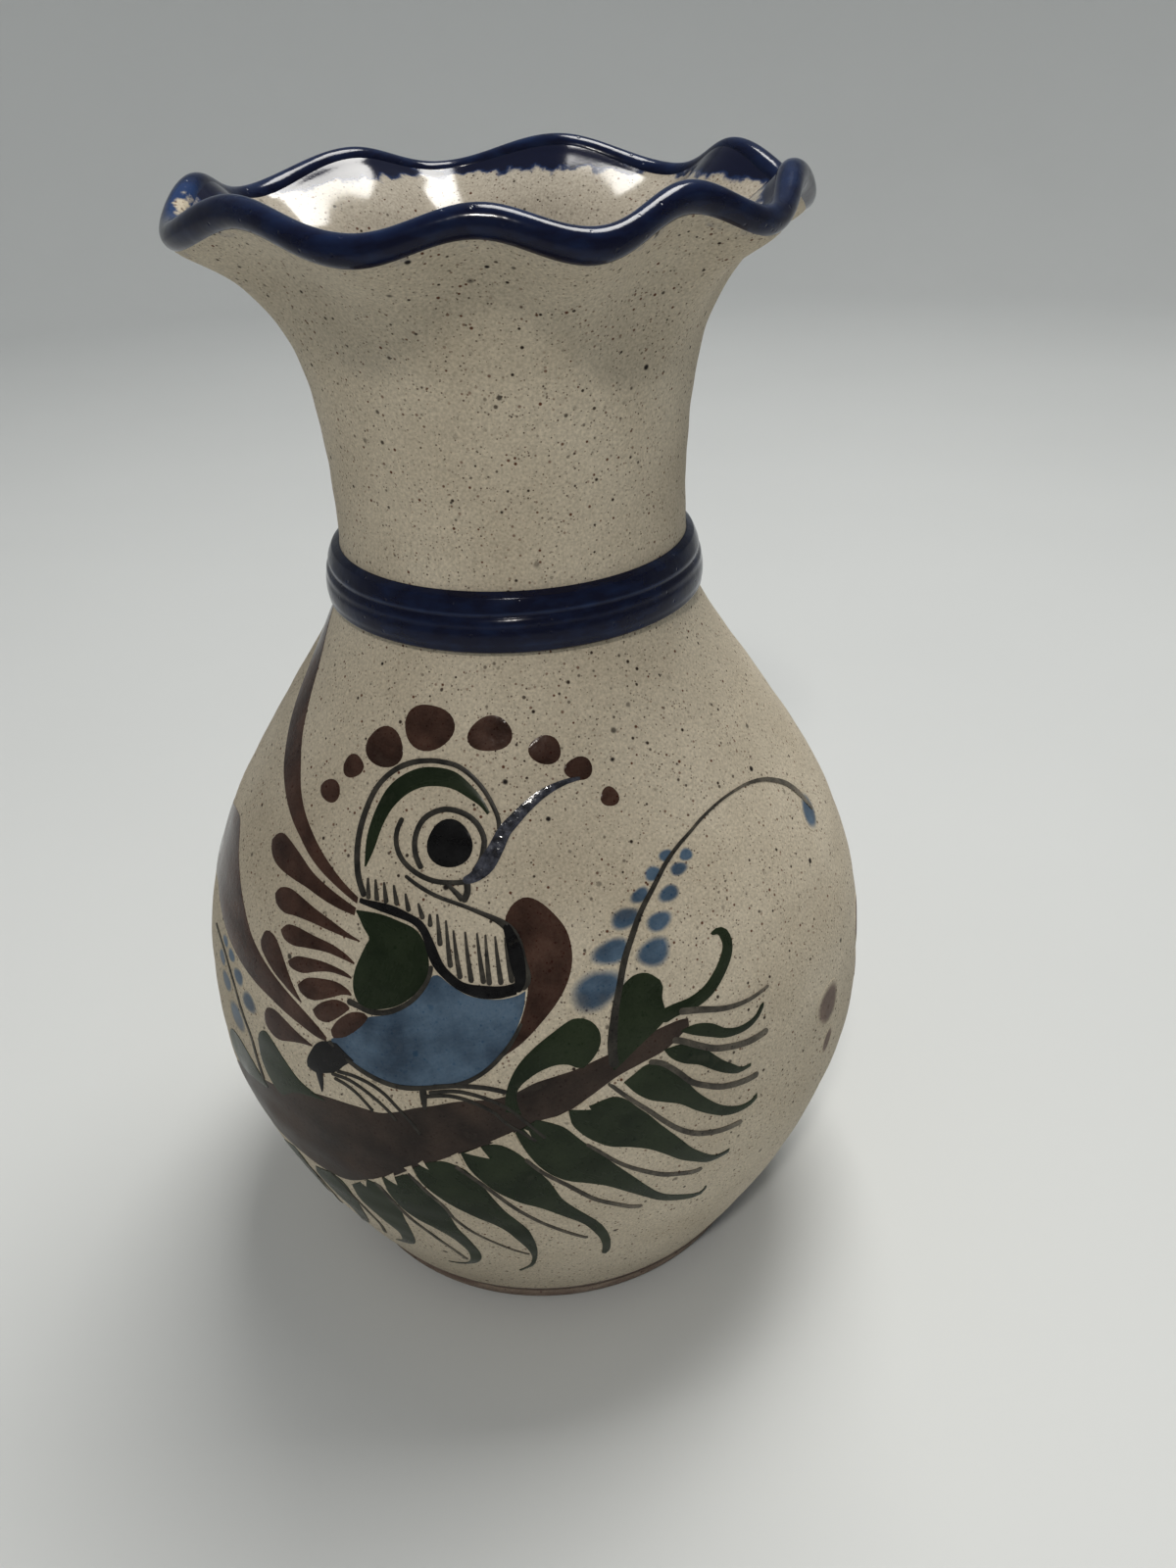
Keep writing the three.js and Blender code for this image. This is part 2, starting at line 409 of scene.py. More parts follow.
# Thin brown slip, banded on while the vase turns: the clay and its specks show through.
banding, tree, shader = new_finish("thin_brown_slip_banding")
clay, grit = fired_clay(tree)
flat = {"Vector": object_spot(tree), "Scale": STREAK_FLAT}
streak = noise(tree, node(tree, "ShaderNodeMapping", flat).outputs[0], STREAK_SIZE, 4.0)
colour = blend(tree, remap(tree, streak, BULK, BAND_LOAD), clay, BAND_BROWN)
set_surface(tree, shader, colour, remap(tree, streak, wanted=(0.75, 0.6)), grit, CLAY_GRIT)
section = np.concatenate(
    [
        [(FOOT_INNER, FOOT_HEIGHT)],
        arc((FOOT_INNER, FOOT_ROUND), (FOOT_INNER, 0), (FOOT_INNER + FOOT_ROUND, 0), 7),
        arc((FOOT_FLAT, 0), (FOOT_SWELL, 0), (FOOT_SWELL, SWELL_UP), 9),
        arc((FOOT_SWELL, SWELL_UP + 0.3), (FOOT_SWELL, FOOT_HEIGHT), WALL[0], 7),
    ]
)
make_piece("foot_ring_banded", [ring_shell(turned(section))], banding, "brown_slip", node="foot_ring")
# The same slip laps 4 mm up the wall over the foot, with an uneven upper edge.
up_lap = np.linspace(0, 1, LAP_ROWS)
lap = WALL[0][1] + np.outer(LAP_HEIGHT + 0.2 * np.sin(np.radians(bearings * 4)), up_lap)
out = np.interp(lap, outline[:, 1], outline[:, 0]) + ripple(bearings[:, None], lap)
edge_in = np.minimum(1, np.linspace(LAP_ROWS - 1, 0, LAP_ROWS)) * LAP_THICK - LAP_UNDER
radius = np.concatenate([out + edge_in, (out - LAP_BACK)[:, ::-1]], 1)
ring = place(bearings[:, None], radius, np.concatenate([lap, lap[:, ::-1]], 1))
make_piece("foot_band", [ring_shell(ring)], banding, "brown_slip")

# The collar.
# Two bands of clay pressed round the neck, grooved with a rib into soft ridges, and dipped in
# glossy cobalt glaze that is almost black where it lies thick and blue where it breaks thin.
SEAT_LOW, SEAT_HIGH, SPLIT = np.array(WALL[10]), np.array(WALL[11]), 0.64
COLLAR_PROUD, COLLAR_EDGE, FACE_ROWS = 2.15, 0.75, 57
# Grooves of the rib: share of the seat, half width as a share, and depth in mm.
GROOVES = [(0.13, 0.05, 0.08), (0.46, 0.06, 0.09), (SPLIT, 0.055, 0.3)]
COBALT_GLOSS, COBALT_SWELL = 0.36, 0.07
# Sizes in mm of the pools of glaze, of its slow swell and of the spacing of its pin holes.
POOL_SIZE, SWELL_SIZE, PIT_SPACING = 5, 3, 2.2
POOL_FLAT = (1.0, 1.0, 2.5)
# The glaze breaks thin over a groove; near its ends the band rounds over, by shares of the seat.
WORN_SHARE, WORN_HALF, END_STEEPNESS = 1.1, 0.025, 16

cobalt, tree, shader = new_finish("glossy_cobalt_glaze")
shader.inputs["Specular IOR Level"].default_value = COBALT_GLOSS
spot, thin = object_spot(tree), attribute(tree, "thin")
drawn = node(tree, "ShaderNodeMapping", {"Vector": spot, "Scale": POOL_FLAT}).outputs[0]
pool = noise(tree, drawn, POOL_SIZE, 5.0)
lean = remap(tree, pool, (0.35, 0.75), (-0.1, 0.3))
thinness = maths(tree, "ADD", thin, lean, use_clamp=True)
colour = blend(tree, thinness, COBALT_DEEP, COBALT_THIN)
# Past the thinnest glaze, where the glaze was wiped off, the clay shows.
clay = fired_clay(tree)[0]
wiped = maths(tree, "ADD", thin, remap(tree, pool, BULK, (-0.5, 0.5)))
colour = blend(tree, remap(tree, wiped, (1.3, 1.6)), colour, clay)
# Pin holes and a slow swell catch the light.
cells = node(tree, "ShaderNodeTexVoronoi", {"Vector": spot, "Scale": 1000 / PIT_SPACING})
pits = remap(tree, cells.outputs["Distance"], (0.05, 0.16))
relief = maths(tree, "ADD", noise(tree, spot, SWELL_SIZE, 2.0), pits)
set_surface(tree, shader, colour, remap(tree, pool, wanted=(0.11, 0.2)), relief, COBALT_SWELL)


def collar_band(name, low, high, cad_node):
    """Closed band: its back lies on the neck between two shares of the seat. Its face is a half
    sine flattened by a root, less a rounded groove at each mark, and it wanders a little."""
    share_up = np.linspace(low, high, FACE_ROWS)
    crown = COLLAR_EDGE + (COLLAR_PROUD - COLLAR_EDGE) * np.sin(np.pi * share_up) ** 0.5
    worn = np.zeros(FACE_ROWS)
    for middle, half, depth in GROOVES:
        dip = np.exp(-(((share_up - middle) / half) ** 2))
        crown = crown - depth * dip
        # The glaze breaks thin on the shoulder just over each groove.
        over = np.exp(-(((share_up - middle - half) / WORN_HALF) ** 2))
        worn = np.maximum(worn, depth * WORN_SHARE * over)
    seat = SEAT_LOW + (SEAT_HIGH - SEAT_LOW) * share_up[:, None]
    from_end = np.minimum(share_up, 1 - share_up)
    round_over = np.minimum(1, from_end * END_STEEPNESS) ** 0.5
    wander = 0.1 * np.sin(np.radians(bearings * 3 + 20)) + 0.07 * np.sin(np.radians(bearings * 7))
    face_out = seat[:, 0] + (crown + wander[:, None] * 0.5) * np.maximum(round_over, 0.3)
    face_up = seat[:, 1] + (wander * 1.2)[:, None] * np.sin(np.pi * share_up)
    back = np.array([SEAT_LOW + (SEAT_HIGH - SEAT_LOW) * k for k in (high, low)])
    back = np.broadcast_to(back, (TURNS, 2, 2))
    radius = np.concatenate([face_out, back[:, :, 0]], 1)
    height = np.concatenate([face_up, back[:, :, 1]], 1)
    shell = ring_shell(place(bearings[:, None], radius, height), thin=np.append(worn, [0, 0]))
    make_piece(name, [shell], cobalt, "cobalt_glaze", sharp=75, node=cad_node)


collar_band("collar_lower_glazed", 0.0, SPLIT, "collar_lower_band")
collar_band("collar_upper_glazed", SPLIT, 1.0, "collar_upper_band")

# The rim.
# The lip is rolled into a bead 4.7 mm thick that follows the eight waves, and the cobalt runs
# off its crown, so it is thick and dark underneath and thin and blue on top.
BEAD_RADIUS, BEAD_OUT, BEAD_UP = 2.35, 52.1, 224.7
BEAD_SIDES, BEAD_TALL = 32, 1.02
# At both sides of the mouth the glaze was wiped off the inner face of the bead.
BARE_AT, BARE_HALF, BARE_FACING, BARE_THIN = 81, 7, 140, 1.7

around = np.linspace(0, 2 * np.pi, BEAD_SIDES, endpoint=False)
uneven = 1 + 0.05 * np.sin(np.radians(bearings * 5 + 40)) + 0.04 * np.sin(np.radians(bearings * 11))
bead = BEAD_RADIUS * uneven[:, None]
radius = BEAD_OUT - WAVE_PINCH * rise + bead * np.cos(around)
height = BEAD_UP + rise + bead * BEAD_TALL * np.sin(around)
crown = np.clip(np.sin(around), 0, 1) ** 3 * 0.3
inner_face = np.clip(np.cos(around - np.radians(BARE_FACING)), 0, 1)
bare = BARE_THIN * at_sides(BARE_AT, BARE_HALF) * inner_face
shell = ring_shell(place(bearings[:, None], radius, height), thin=crown + bare)
make_piece("rim_bead_glazed", [shell], cobalt, "cobalt_glaze", node="rim_bead")

# The crown of dots.
# Over the bird's head hangs an arc of eight brown dots. All the painting is slip, laid on the
# dry clay with a loaded brush: it stands a tenth of a millimetre proud, with a crisp edge.
UNDER, FILM, LAYER, BLADE_DOME = -0.15, 0.06, 0.045, 0.05
SLIP_GLOSS, SLIP_GRAIN_SIZE = 0.26, 1.1
# Brush hairs: share of the tone, and how many lumps of noise go to a unit along and across the
# stroke, which a noise size of 1000 leaves as they are.
HAIR_SHARE, HAIR_STRETCH, HAIR_SIZE = 0.12, (5.0, 40.0, 1.0), 1000
# The noise that the tone runs over, and the load that the slip builds up over.
TONE_SPAN, LOAD_SPAN = (0.36, 0.66), (0.12, 0.9)
# In mm: length of a row of quads along a stroke, width of a column across a line and across a
# broad shape, and the length of wall to one unit of brush pattern.
ROW_STEP, LINE_COLUMN, SHAPE_COLUMN, BRUSH_UNIT = 0.9, 0.5, 1.1, 20
# Half width in mm of the thinnest line, and the share of its width that a stroke ends with.
THINNEST, END_SHARE = 0.08, 0.06
# How far a soft dot spreads past its size, and the share of its size that keeps its full load.
SOFT_SPREAD, SOFT_CORE = 0.45, 0.72


def on_wall(bearing, height, lift):
    """Points on the outside of the wall, `lift` mm off it along its normal."""
    radius = np.interp(height, outline[:, 1], outline[:, 0]) + ripple(bearing, height)
    along_r = np.interp(height, outline[:, 1], slope[:, 0])
    along_z = np.interp(height, outline[:, 1], slope[:, 1])
    return place(bearing, radius + lift * along_z, height - lift * along_r)


def step_on_wall(bearing, height, right_mm, up_mm):
    """Bearing and height reached by stepping so many mm round the wall and up along it."""
    radius = np.interp(height, outline[:, 1], outline[:, 0])
    climbed = np.interp(height, outline[:, 1], run) + up_mm
    return bearing + np.degrees(right_mm / radius), np.interp(climbed, run, outline[:, 1])


def mm_between(line):
    """Right and up steps in mm between neighbouring (bearing, height) points of a line."""
    radius = np.interp(line[:, 1], outline[:, 1], outline[:, 0])
    climbed = np.interp(line[:, 1], outline[:, 1], run)
    return np.radians(np.diff(line[:, 0])) * (radius[1:] + radius[:-1]) / 2, np.diff(climbed)


def walk(points, spots):
    """A smooth line through the points, sampled at shares of its length, or at the distances in
    mm that a function gives for that length. Also gives those distances and the length."""
    line = spline(points, 12)
    length = np.concatenate([[0], np.cumsum(np.hypot(*mm_between(line)))])
    spots = spots(length[-1]) if callable(spots) else np.asarray(spots) * length[-1]
    return np.stack([np.interp(spots, length, column) for column in line.T], 1), spots, length[-1]


def film(bearing, height, uv, load, layer, dome):
    """Closed film of slip over a grid of wall points. Its top is a little domed across the
    columns, its underside is sunk in the clay, and a strip of quads joins them at the edge."""
    rows, columns = bearing.shape
    v = np.linspace(-1, 1, columns)
    lift = FILM + LAYER * layer + dome * (1 - v**4) * np.ones((rows, 1))
    points = np.concatenate([on_wall(bearing, height, k).reshape(-1, 3) for k in (lift, UNDER)])
    at = np.arange(rows * columns).reshape(rows, columns)
    face = np.stack([at[:-1, :-1], at[:-1, 1:], at[1:, 1:], at[1:, :-1]], -1).reshape(-1, 4)
    rim = np.concatenate([at[0, :-1], at[:-1, -1], at[-1, :0:-1], at[:0:-1, 0]])
    beyond = np.roll(rim, -1)
    side = np.stack([beyond, rim, rim + at.size, beyond + at.size], -1)
    quads = np.concatenate([face, face[:, ::-1] + at.size, side])
    uv = np.stack(np.broadcast_arrays(*uv), -1).reshape(-1, 2)
    load = np.broadcast_to(load, bearing.shape).ravel()
    return points, quads, np.tile(uv, (2, 1)), {"load": np.tile(load, 2)}


def stroke(points, widths, layer=0, load=1.0, dry_tip=0.0):
    """One pull of the brush: a band about a line of (bearing, height) points, with half widths
    in mm at them, round at both ends. Towards a dry tip the brush carries less slip."""
    widths = np.broadcast_to(widths, len(points)).astype(float)
    guide = np.column_stack([np.asarray(points, float), widths])
    round_end = 1 - np.cos(np.linspace(0, np.pi / 2, 6))

    def rounding(length):
        return (min(half, length / 3) for half in (widths[0], widths[-1]))

    def spots(length):
        start, end = rounding(length)
        middle = np.linspace(start, length - end, max(4, int(length / ROW_STEP)))
        return np.concatenate([round_end[:-1] * start, middle, length - (round_end * end)[-2::-1]])

    line, at, length = walk(guide, spots)
    start, end = rounding(length)
    near = np.clip(np.minimum(at / start, (length - at) / end), 0, 1)
    half = np.maximum(line[:, 2], THINNEST) * np.maximum(np.sqrt(1 - (1 - near) ** 2), END_SHARE)
    right, up = mm_between(line)
    right, up = (np.interp(np.arange(len(line)), np.arange(len(k)) + 0.5, k) for k in (right, up))
    across = np.linspace(-1, 1, int(np.clip(2 * widths.max() / LINE_COLUMN, 4, 9)))
    size = np.hypot(right, up) / half
    bearing, height = step_on_wall(
        line[:, :1], line[:, 1:2], (-up / size)[:, None] * across, (right / size)[:, None] * across
    )
    thinning = load * (1 - dry_tip * np.clip(at / length, 0, 1) ** 2)[:, None]
    uv = (at[:, None] / BRUSH_UNIT, half[:, None] * across / BRUSH_UNIT + 0.5)
    return film(bearing, height, uv, thinning, layer, dome=min(BLADE_DOME, widths.max() * 0.08))


def blade(left, right, layer=0, load=1.0):
    """A filled shape between two brushed edges that run the same way: rows of points are
    stretched straight from one edge to the other, and the slip is flatter where it is narrow."""
    longest = max(walk(edge, [1.0])[2] for edge in (left, right))
    shares = np.linspace(0, 1, max(8, int(longest / ROW_STEP)))
    a, b = (walk(edge, shares)[0] for edge in (left, right))
    width = np.hypot(*mm_between(np.stack([a, b], 1).reshape(-1, 2)))[::2]
    t = np.linspace(0, 1, int(np.clip(width.max() / SHAPE_COLUMN, 4, 26)))
    bearing = a[:, :1] + (b - a)[:, :1] * t
    height = a[:, 1:] + (b - a)[:, 1:] * t
    uv = (shares[:, None] * longest / BRUSH_UNIT, width[:, None] * (t - 0.5) / BRUSH_UNIT + 0.5)
    return film(bearing, height, uv, load, layer, dome=BLADE_DOME * np.clip(width, 0, 1)[:, None])


def dot(bearing, height, half_wide, half_high, lean=0.0, soft=0.0, layer=0, load=1.0, wobble=0.05):
    """A round touch of the brush, sizes in mm: an ellipse with a hand's unevenness. A soft one
    spreads beyond its size and its load fades there by a smooth step."""
    spread = 1 + soft * SOFT_SPREAD
    turn = np.linspace(0, np.pi, 17 if soft else 15)[:, None]
    t = np.linspace(-1, 1, 14 if soft else 11)
    x = -np.cos(turn) * np.ones_like(t)
    y = np.maximum(np.sin(turn), 0.04) * t
    uneven = 1 + wobble * np.sin(3 * np.arctan2(y, x) + bearing) + wobble * np.cos(2 * x + height)
    far = np.hypot(x, y) * spread
    tilt = np.radians(lean)
    wide, high = x * half_wide * spread * uneven, y * half_high * spread * uneven
    right = wide * np.cos(tilt) - high * np.sin(tilt)
    up = wide * np.sin(tilt) + high * np.cos(tilt)
    there = step_on_wall(bearing, height, right, up)
    if soft:
        fade = np.clip((spread - far) / (spread - SOFT_CORE), 0, 1)
        load = load * fade**2 * (3 - 2 * fade)
    bearing, height = np.broadcast_arrays(*there)
    uv = (wide / BRUSH_UNIT + 0.5, high / BRUSH_UNIT + 0.5)
    return film(bearing, height, uv, load, layer, dome=0.0 if soft else 0.07)


def slip(name, deep, thin, sheen, tone_size, specks_show, grain_depth, gloss=SLIP_GLOSS):
    """Fired slip over the clay. Its tone runs along the brush between a deep and a thin colour,
    the clay's specks come through, and where the load fades so does its colour and sheen."""
    finish, tree, shader = new_finish(name)
    shader.inputs["Specular IOR Level"].default_value = gloss
    clay, grit = fired_clay(tree)
    brush = node(tree, "ShaderNodeUVMap", uv_map="brush").outputs[0]
    pulled = node(tree, "ShaderNodeMapping", {"Vector": brush, "Scale": HAIR_STRETCH}).outputs[0]
    hairs = noise(tree, pulled, HAIR_SIZE, 3.0)
    spot = object_spot(tree)
    pools = noise(tree, spot, tone_size, 4.0)
    both = node(tree, "ShaderNodeMix", {0: HAIR_SHARE, 2: pools, 3: hairs}).outputs[0]
    tone = remap(tree, both, TONE_SPAN)
    bare = remap(tree, tone, wanted=(specks_show * 0.4, specks_show))
    shown = blend(tree, bare, blend(tree, tone, deep, thin), clay)
    uneven = remap(tree, pools, BULK, (-0.12, 0.12))
    held = remap(tree, maths(tree, "ADD", attribute(tree, "load"), uneven), LOAD_SPAN)
    colour = blend(tree, held, clay, shown)
    rough = remap(tree, tone, wanted=(sheen - 0.06, sheen + 0.1))
    roughness = node(tree, "ShaderNodeMix", {0: held, 2: DRY_ROUGHNESS, 3: rough}).outputs[0]
    grain = noise(tree, spot, SLIP_GRAIN_SIZE, 2.0)
    relief = node(tree, "ShaderNodeMix", {0: held, 2: grit, 3: grain}).outputs[0]
    set_surface(tree, shader, colour, roughness, relief, grain_depth)
    return finish


# Iron-brown slip fires to a half gloss that glitters where the grain catches the light.
brown = slip("iron_brown_slip", "#290e07", "#3f190e", 0.15, 6.0, 0.09, 0.05)

CROWN = [
    (-46.2, 128.4, 2.6, 2.25), (-41.9, 133.4, 2.4, 2.15), (-35.2, 137.6, 4.2, 3.55),
    (-24.6, 141.9, 4.8, 4.35), (-8.8, 141.6, 3.9, 3.3), (4.2, 138.9, 2.9, 2.5),
    (11, 135.6, 2.5, 2.15), (16.4, 130.7, 1.7, 1.75),
]
shells = [dot(*spot, lean=12 * np.sin(i * 2.1)) for i, spot in enumerate(CROWN)]
make_piece("crown_dots", shells, brown, "brown_slip")

# The bird's tail and back.
# Nine brown feathers fan out behind it, each one press of the brush: broad at the outer end and
# drawn to a point at the wing. A thick hook of the same brown rises behind its breast.
FEATHERS = [
    (
        [(-58, 116), (-56.8, 117.6), (-55, 118.3), (-52, 118), (-48, 117), (-44, 115.6),
         (-40, 114.6), (-36, 113.7), (-32.5, 112.9)],
        [(-58, 116), (-57, 114.6), (-55, 113.5), (-52, 113), (-48, 112.9), (-44, 112.8),
         (-40, 112.3), (-36, 111.9), (-32.5, 111.7)],
    ),
    (
        [(-51.5, 109), (-50.5, 110.5), (-48, 111.3), (-45, 111.1), (-41, 110.4), (-37, 109.7),
         (-33, 108.7), (-30.5, 108.1)],
        [(-51.5, 109), (-50.5, 107.6), (-48, 107), (-45, 107.6), (-41, 108), (-37, 108),
         (-33, 107.9), (-30.5, 107.9)],
    ),
    (
        [(-47.8, 103.8), (-46.5, 105.4), (-44, 106), (-40, 106), (-36, 105.9), (-33, 105.2),
         (-31, 104.2)],
        [(-47.8, 103.8), (-46.5, 102.7), (-44, 102.6), (-41, 103.4), (-37, 104.2), (-34, 104.2),
         (-31, 103.9)],
    ),
    (
        [(-44.7, 99.3), (-43, 101), (-40, 101.9), (-36.5, 102.4), (-33, 102.2), (-31.2, 101.6)],
        [(-44.7, 99.3), (-43.8, 98.5), (-41, 98.7), (-38, 100.2), (-35, 101.2), (-31.2, 101.3)],
    ),
    (
        [(-41.7, 96.2), (-40, 98.2), (-37, 99.3), (-34, 99.8), (-31.8, 99.3), (-30.9, 98.6)],
        [(-41.7, 96.2), (-40.5, 95), (-38, 94.9), (-35, 96.5), (-32.5, 98), (-30.9, 98.3)],
    ),
    (
        [(-38, 93), (-36.5, 95), (-34, 96.6), (-32, 96.7), (-31, 96.2)],
        [(-38, 93), (-37, 91.7), (-35, 91.8), (-33, 93.5), (-31, 95.8)],
    ),
    (
        [(-34.2, 90.6), (-33, 93), (-30.8, 95.3), (-28.6, 96), (-27.6, 95.5)],
        [(-34.2, 90.6), (-33.6, 89.2), (-31.8, 88.8), (-29.8, 91), (-28.3, 93.5), (-27.6, 95.2)],
    ),
    (
        [(-52.6, 99.5), (-51.8, 101.7), (-50, 102.2), (-48, 101.4), (-45.5, 98.8), (-43, 96),
         (-40.5, 93.5)],
        [(-52.6, 99.5), (-52, 98.2), (-50, 97), (-47.5, 95.8), (-45, 94.9), (-42.5, 93.9), (-40.5, 93.2)],
    ),
    (
        [(-49.2, 86), (-48.5, 87.8), (-46.5, 88.5), (-44, 87.9), (-41, 86.8), (-37.8, 85.8)],
        [(-49.2, 86), (-48.8, 84), (-47, 82.8), (-45, 82.8), (-42.5, 84), (-40, 85), (-37.8, 85.5)],
    ),
]
HOOK = (
    [(-5.4, 114.8), (-4.2, 116.6), (-2, 117.6), (0.5, 116.8), (3, 114.5), (4.6, 112), (5.1, 109),
     (4.7, 106), (3.5, 103), (1.6, 100), (-0.8, 97), (-3.5, 94), (-6, 91.8), (-7, 90.8)],
    [(-5.4, 113.6), (-4.5, 112.3), (-3.3, 110), (-2.5, 107), (-2.2, 104), (-2.5, 101.5),
     (-3.3, 98.5), (-4.3, 95.8), (-5.8, 93), (-7, 91)],
)
make_piece("tail_feathers", [blade(*edges) for edges in FEATHERS], brown, "brown_slip")
make_piece("back_hook", [blade(*HOOK)], brown, "brown_slip")

# The bird's breast.
# A pale blue wash fills the belly, thin enough for the clay to cloud it. The wing and the crest
# on the brow are green slip, and all three are laid before the outlines.
wash = slip("pale_blue_wash", "#263f56", "#42637f", 0.34, 8.0, 0.12, 0.02)
green = slip("leaf_green_slip", "#0f200b", "#162a11", 0.27, 9.0, 0.045, 0.02)

BELLY = (
    [(-34, 88.9), (-31.5, 91), (-29, 93.5), (-27.5, 95.5), (-25, 96.5), (-22, 98.5), (-19.5, 101.3),
     (-17.5, 104.5), (-16.2, 105), (-14, 103.5), (-11, 102), (-7, 101.6), (-4, 102.2), (-2.6, 103)],
    [(-34, 88.5), (-32, 86.5), (-29.5, 85), (-26.5, 84), (-23.5, 83.6), (-20, 84), (-16.5, 84.8),
     (-13, 86), (-10, 88), (-7.5, 90.5), (-5.5, 93.5), (-4, 97), (-3, 100), (-2.6, 102.8)],
)
WING = (
    [(-32.3, 112.6), (-30, 112.9), (-27, 113), (-24, 112.6), (-21, 111.9), (-19.2, 110.4),
     (-18.2, 108.2), (-17.9, 106), (-18.6, 103.4), (-20.4, 100.8), (-23, 98.6), (-26, 97.3),
     (-27.8, 96.9)],
    [(-32.3, 112.4), (-31.4, 111.6), (-30.2, 110.3), (-28.8, 109), (-29.2, 107.8), (-29.9, 105.8),
     (-30.6, 103.4), (-30.8, 101), (-30.4, 99), (-29.4, 97.5), (-28.2, 96.9)],
)
BROW = (
    [(-32.6, 119.5), (-33.6, 124), (-33.2, 128), (-31.5, 131.8), (-28.6, 134.2), (-24.5, 135.8),
     (-20, 136.2), (-16, 135.7), (-12.5, 134), (-10, 132.2), (-8.4, 130.2)],
    [(-32.3, 119.5), (-31.4, 122.5), (-30.8, 126), (-29.4, 129), (-26.8, 131.5), (-23.5, 133),
     (-19.5, 133.5), (-16, 133.2), (-12.5, 132), (-10.3, 131), (-8.9, 129.8)],
)
make_piece("belly_wash", [blade(*BELLY)], wash, "blue_slip")
make_piece("wing_and_brow", [blade(*WING, layer=1), blade(*BROW)], green, "green_slip")

# The bird's lines.
# Outlines, beak and legs are drawn over the slips with a fine brush: grey where the ink is
# thin and near black where it is loaded. The eye and the breast band are thick, shiny black.
ink = slip("thin_grey_ink_line", "#151617", "#2a2927", 0.42, 3.0, 0.08, 0.02)
black = slip("thick_black_slip", "#07070b", "#121318", 0.16, 4.0, 0.02, 0.012)
# The plume's thin colour is a pale grey-blue. It is partly the dry-brushed slip and partly painted
# glitter that stands for the plume's highlights.
plume_black_with_painted_glitter = slip("blue_black_slip_with_painted_glitter", "#181a24", "#454958", 0.14, 1.2, 0.05, 0.16, gloss=0.5)

OUTLINES = [
    ([(-31.2, 115), (-33.5, 118), (-35, 121.5), (-35.6, 125.5), (-35, 129.5), (-33.4, 132.5),
      (-30.6, 134.8), (-27, 136.3), (-23, 137), (-20, 137.1), (-16, 136.7), (-12.5, 135.3),
      (-9.5, 133.2), (-7.5, 130.8), (-6.6, 129), (-6.5, 127.5)],
     [0.6, 0.6, 0.6, 0.6, 0.55, 0.5, 0.5, 0.5, 0.45, 0.45, 0.45, 0.4, 0.4, 0.4, 0.4, 0.35]),
    ([(-21, 121), (-22.6, 123), (-23.2, 125.5), (-22.3, 128), (-20, 129.6), (-17, 130.3),
      (-13.5, 129.8), (-11, 128.5), (-9.5, 126.5), (-9.4, 125), (-9.9, 123), (-11.2, 121.2)], 0.5),
    ([(-26.6, 128), (-27.3, 126), (-26.8, 123.8), (-25, 121.8), (-22, 120.3), (-18.5, 119.5),
      (-15, 119.5), (-12.5, 119.8)], 0.45),
    ([(-16, 119.3), (-14, 118), (-12.8, 117)], [0.35, 0.45, 0.6]),
    ([(-12.3, 119.8), (-12.1, 118.2), (-12.8, 116.8)], 0.6),
    ([(-24, 119.6), (-21, 118.4), (-17.5, 117.3), (-13, 116.3), (-10, 115.4), (-7, 114.3),
      (-5, 113), (-3.7, 111), (-3, 108), (-2.3, 105), (-3.3, 103.3)],
     [0.3, 0.35, 0.35, 0.35, 0.4, 0.55, 0.8, 0.9, 0.9, 0.8, 0.7]),
    ([(-31.5, 97.3), (-29.5, 97), (-27, 96.6), (-24, 97.4), (-21, 99.5), (-19, 102), (-17.8, 104.5),
      (-17.5, 106.5)],
     [0.6, 0.55, 0.5, 0.5, 0.45, 0.45, 0.4, 0.4]),
    ([(-34.5, 88.3), (-32, 86.6), (-29, 84.9), (-26, 83.8), (-23, 83.3), (-20, 83.6), (-16.5, 84.6),
      (-13, 85.7), (-10.3, 87.5), (-8, 89.8), (-6, 92.6), (-4.6, 95), (-3.4, 97.5)],
     [0.5, 0.5, 0.5, 0.5, 0.5, 0.5, 0.45, 0.45, 0.4, 0.4, 0.4, 0.35, 0.3]),
    ([(-33, 82.6), (-30, 82.9), (-27, 82.3), (-24.5, 80.8), (-22.5, 78.2), (-20.8, 75.8),
      (-19.4, 73.2)], 0.33),
    ([(-34, 81.6), (-31, 81.7), (-28.5, 80.8), (-26, 79), (-24.2, 77), (-23.1, 75.2)], 0.33),
    ([(-33.5, 80.8), (-31.5, 80.4), (-29.5, 79.2), (-27.5, 76.8), (-27, 75.9)], 0.33),
    ([(-18.5, 83.8), (-18.4, 81.5), (-18.3, 79.5)], [0.7, 0.6, 0.3]),
    ([(-17, 84.6), (-13, 85.4), (-9, 85.3), (-6, 84.5)], 0.45),
    ([(-18.2, 82.3), (-14.5, 83.1), (-11, 82.2), (-8, 80.2), (-6.2, 77.6), (-4.2, 75.6),
      (-2.2, 73.4)], 0.35),
    ([(-17.6, 83.2), (-13.5, 84.2), (-9.5, 83.3), (-6, 81.2), (-3.8, 78.4), (-2.2, 76),
      (-0.9, 74)], 0.35),
]
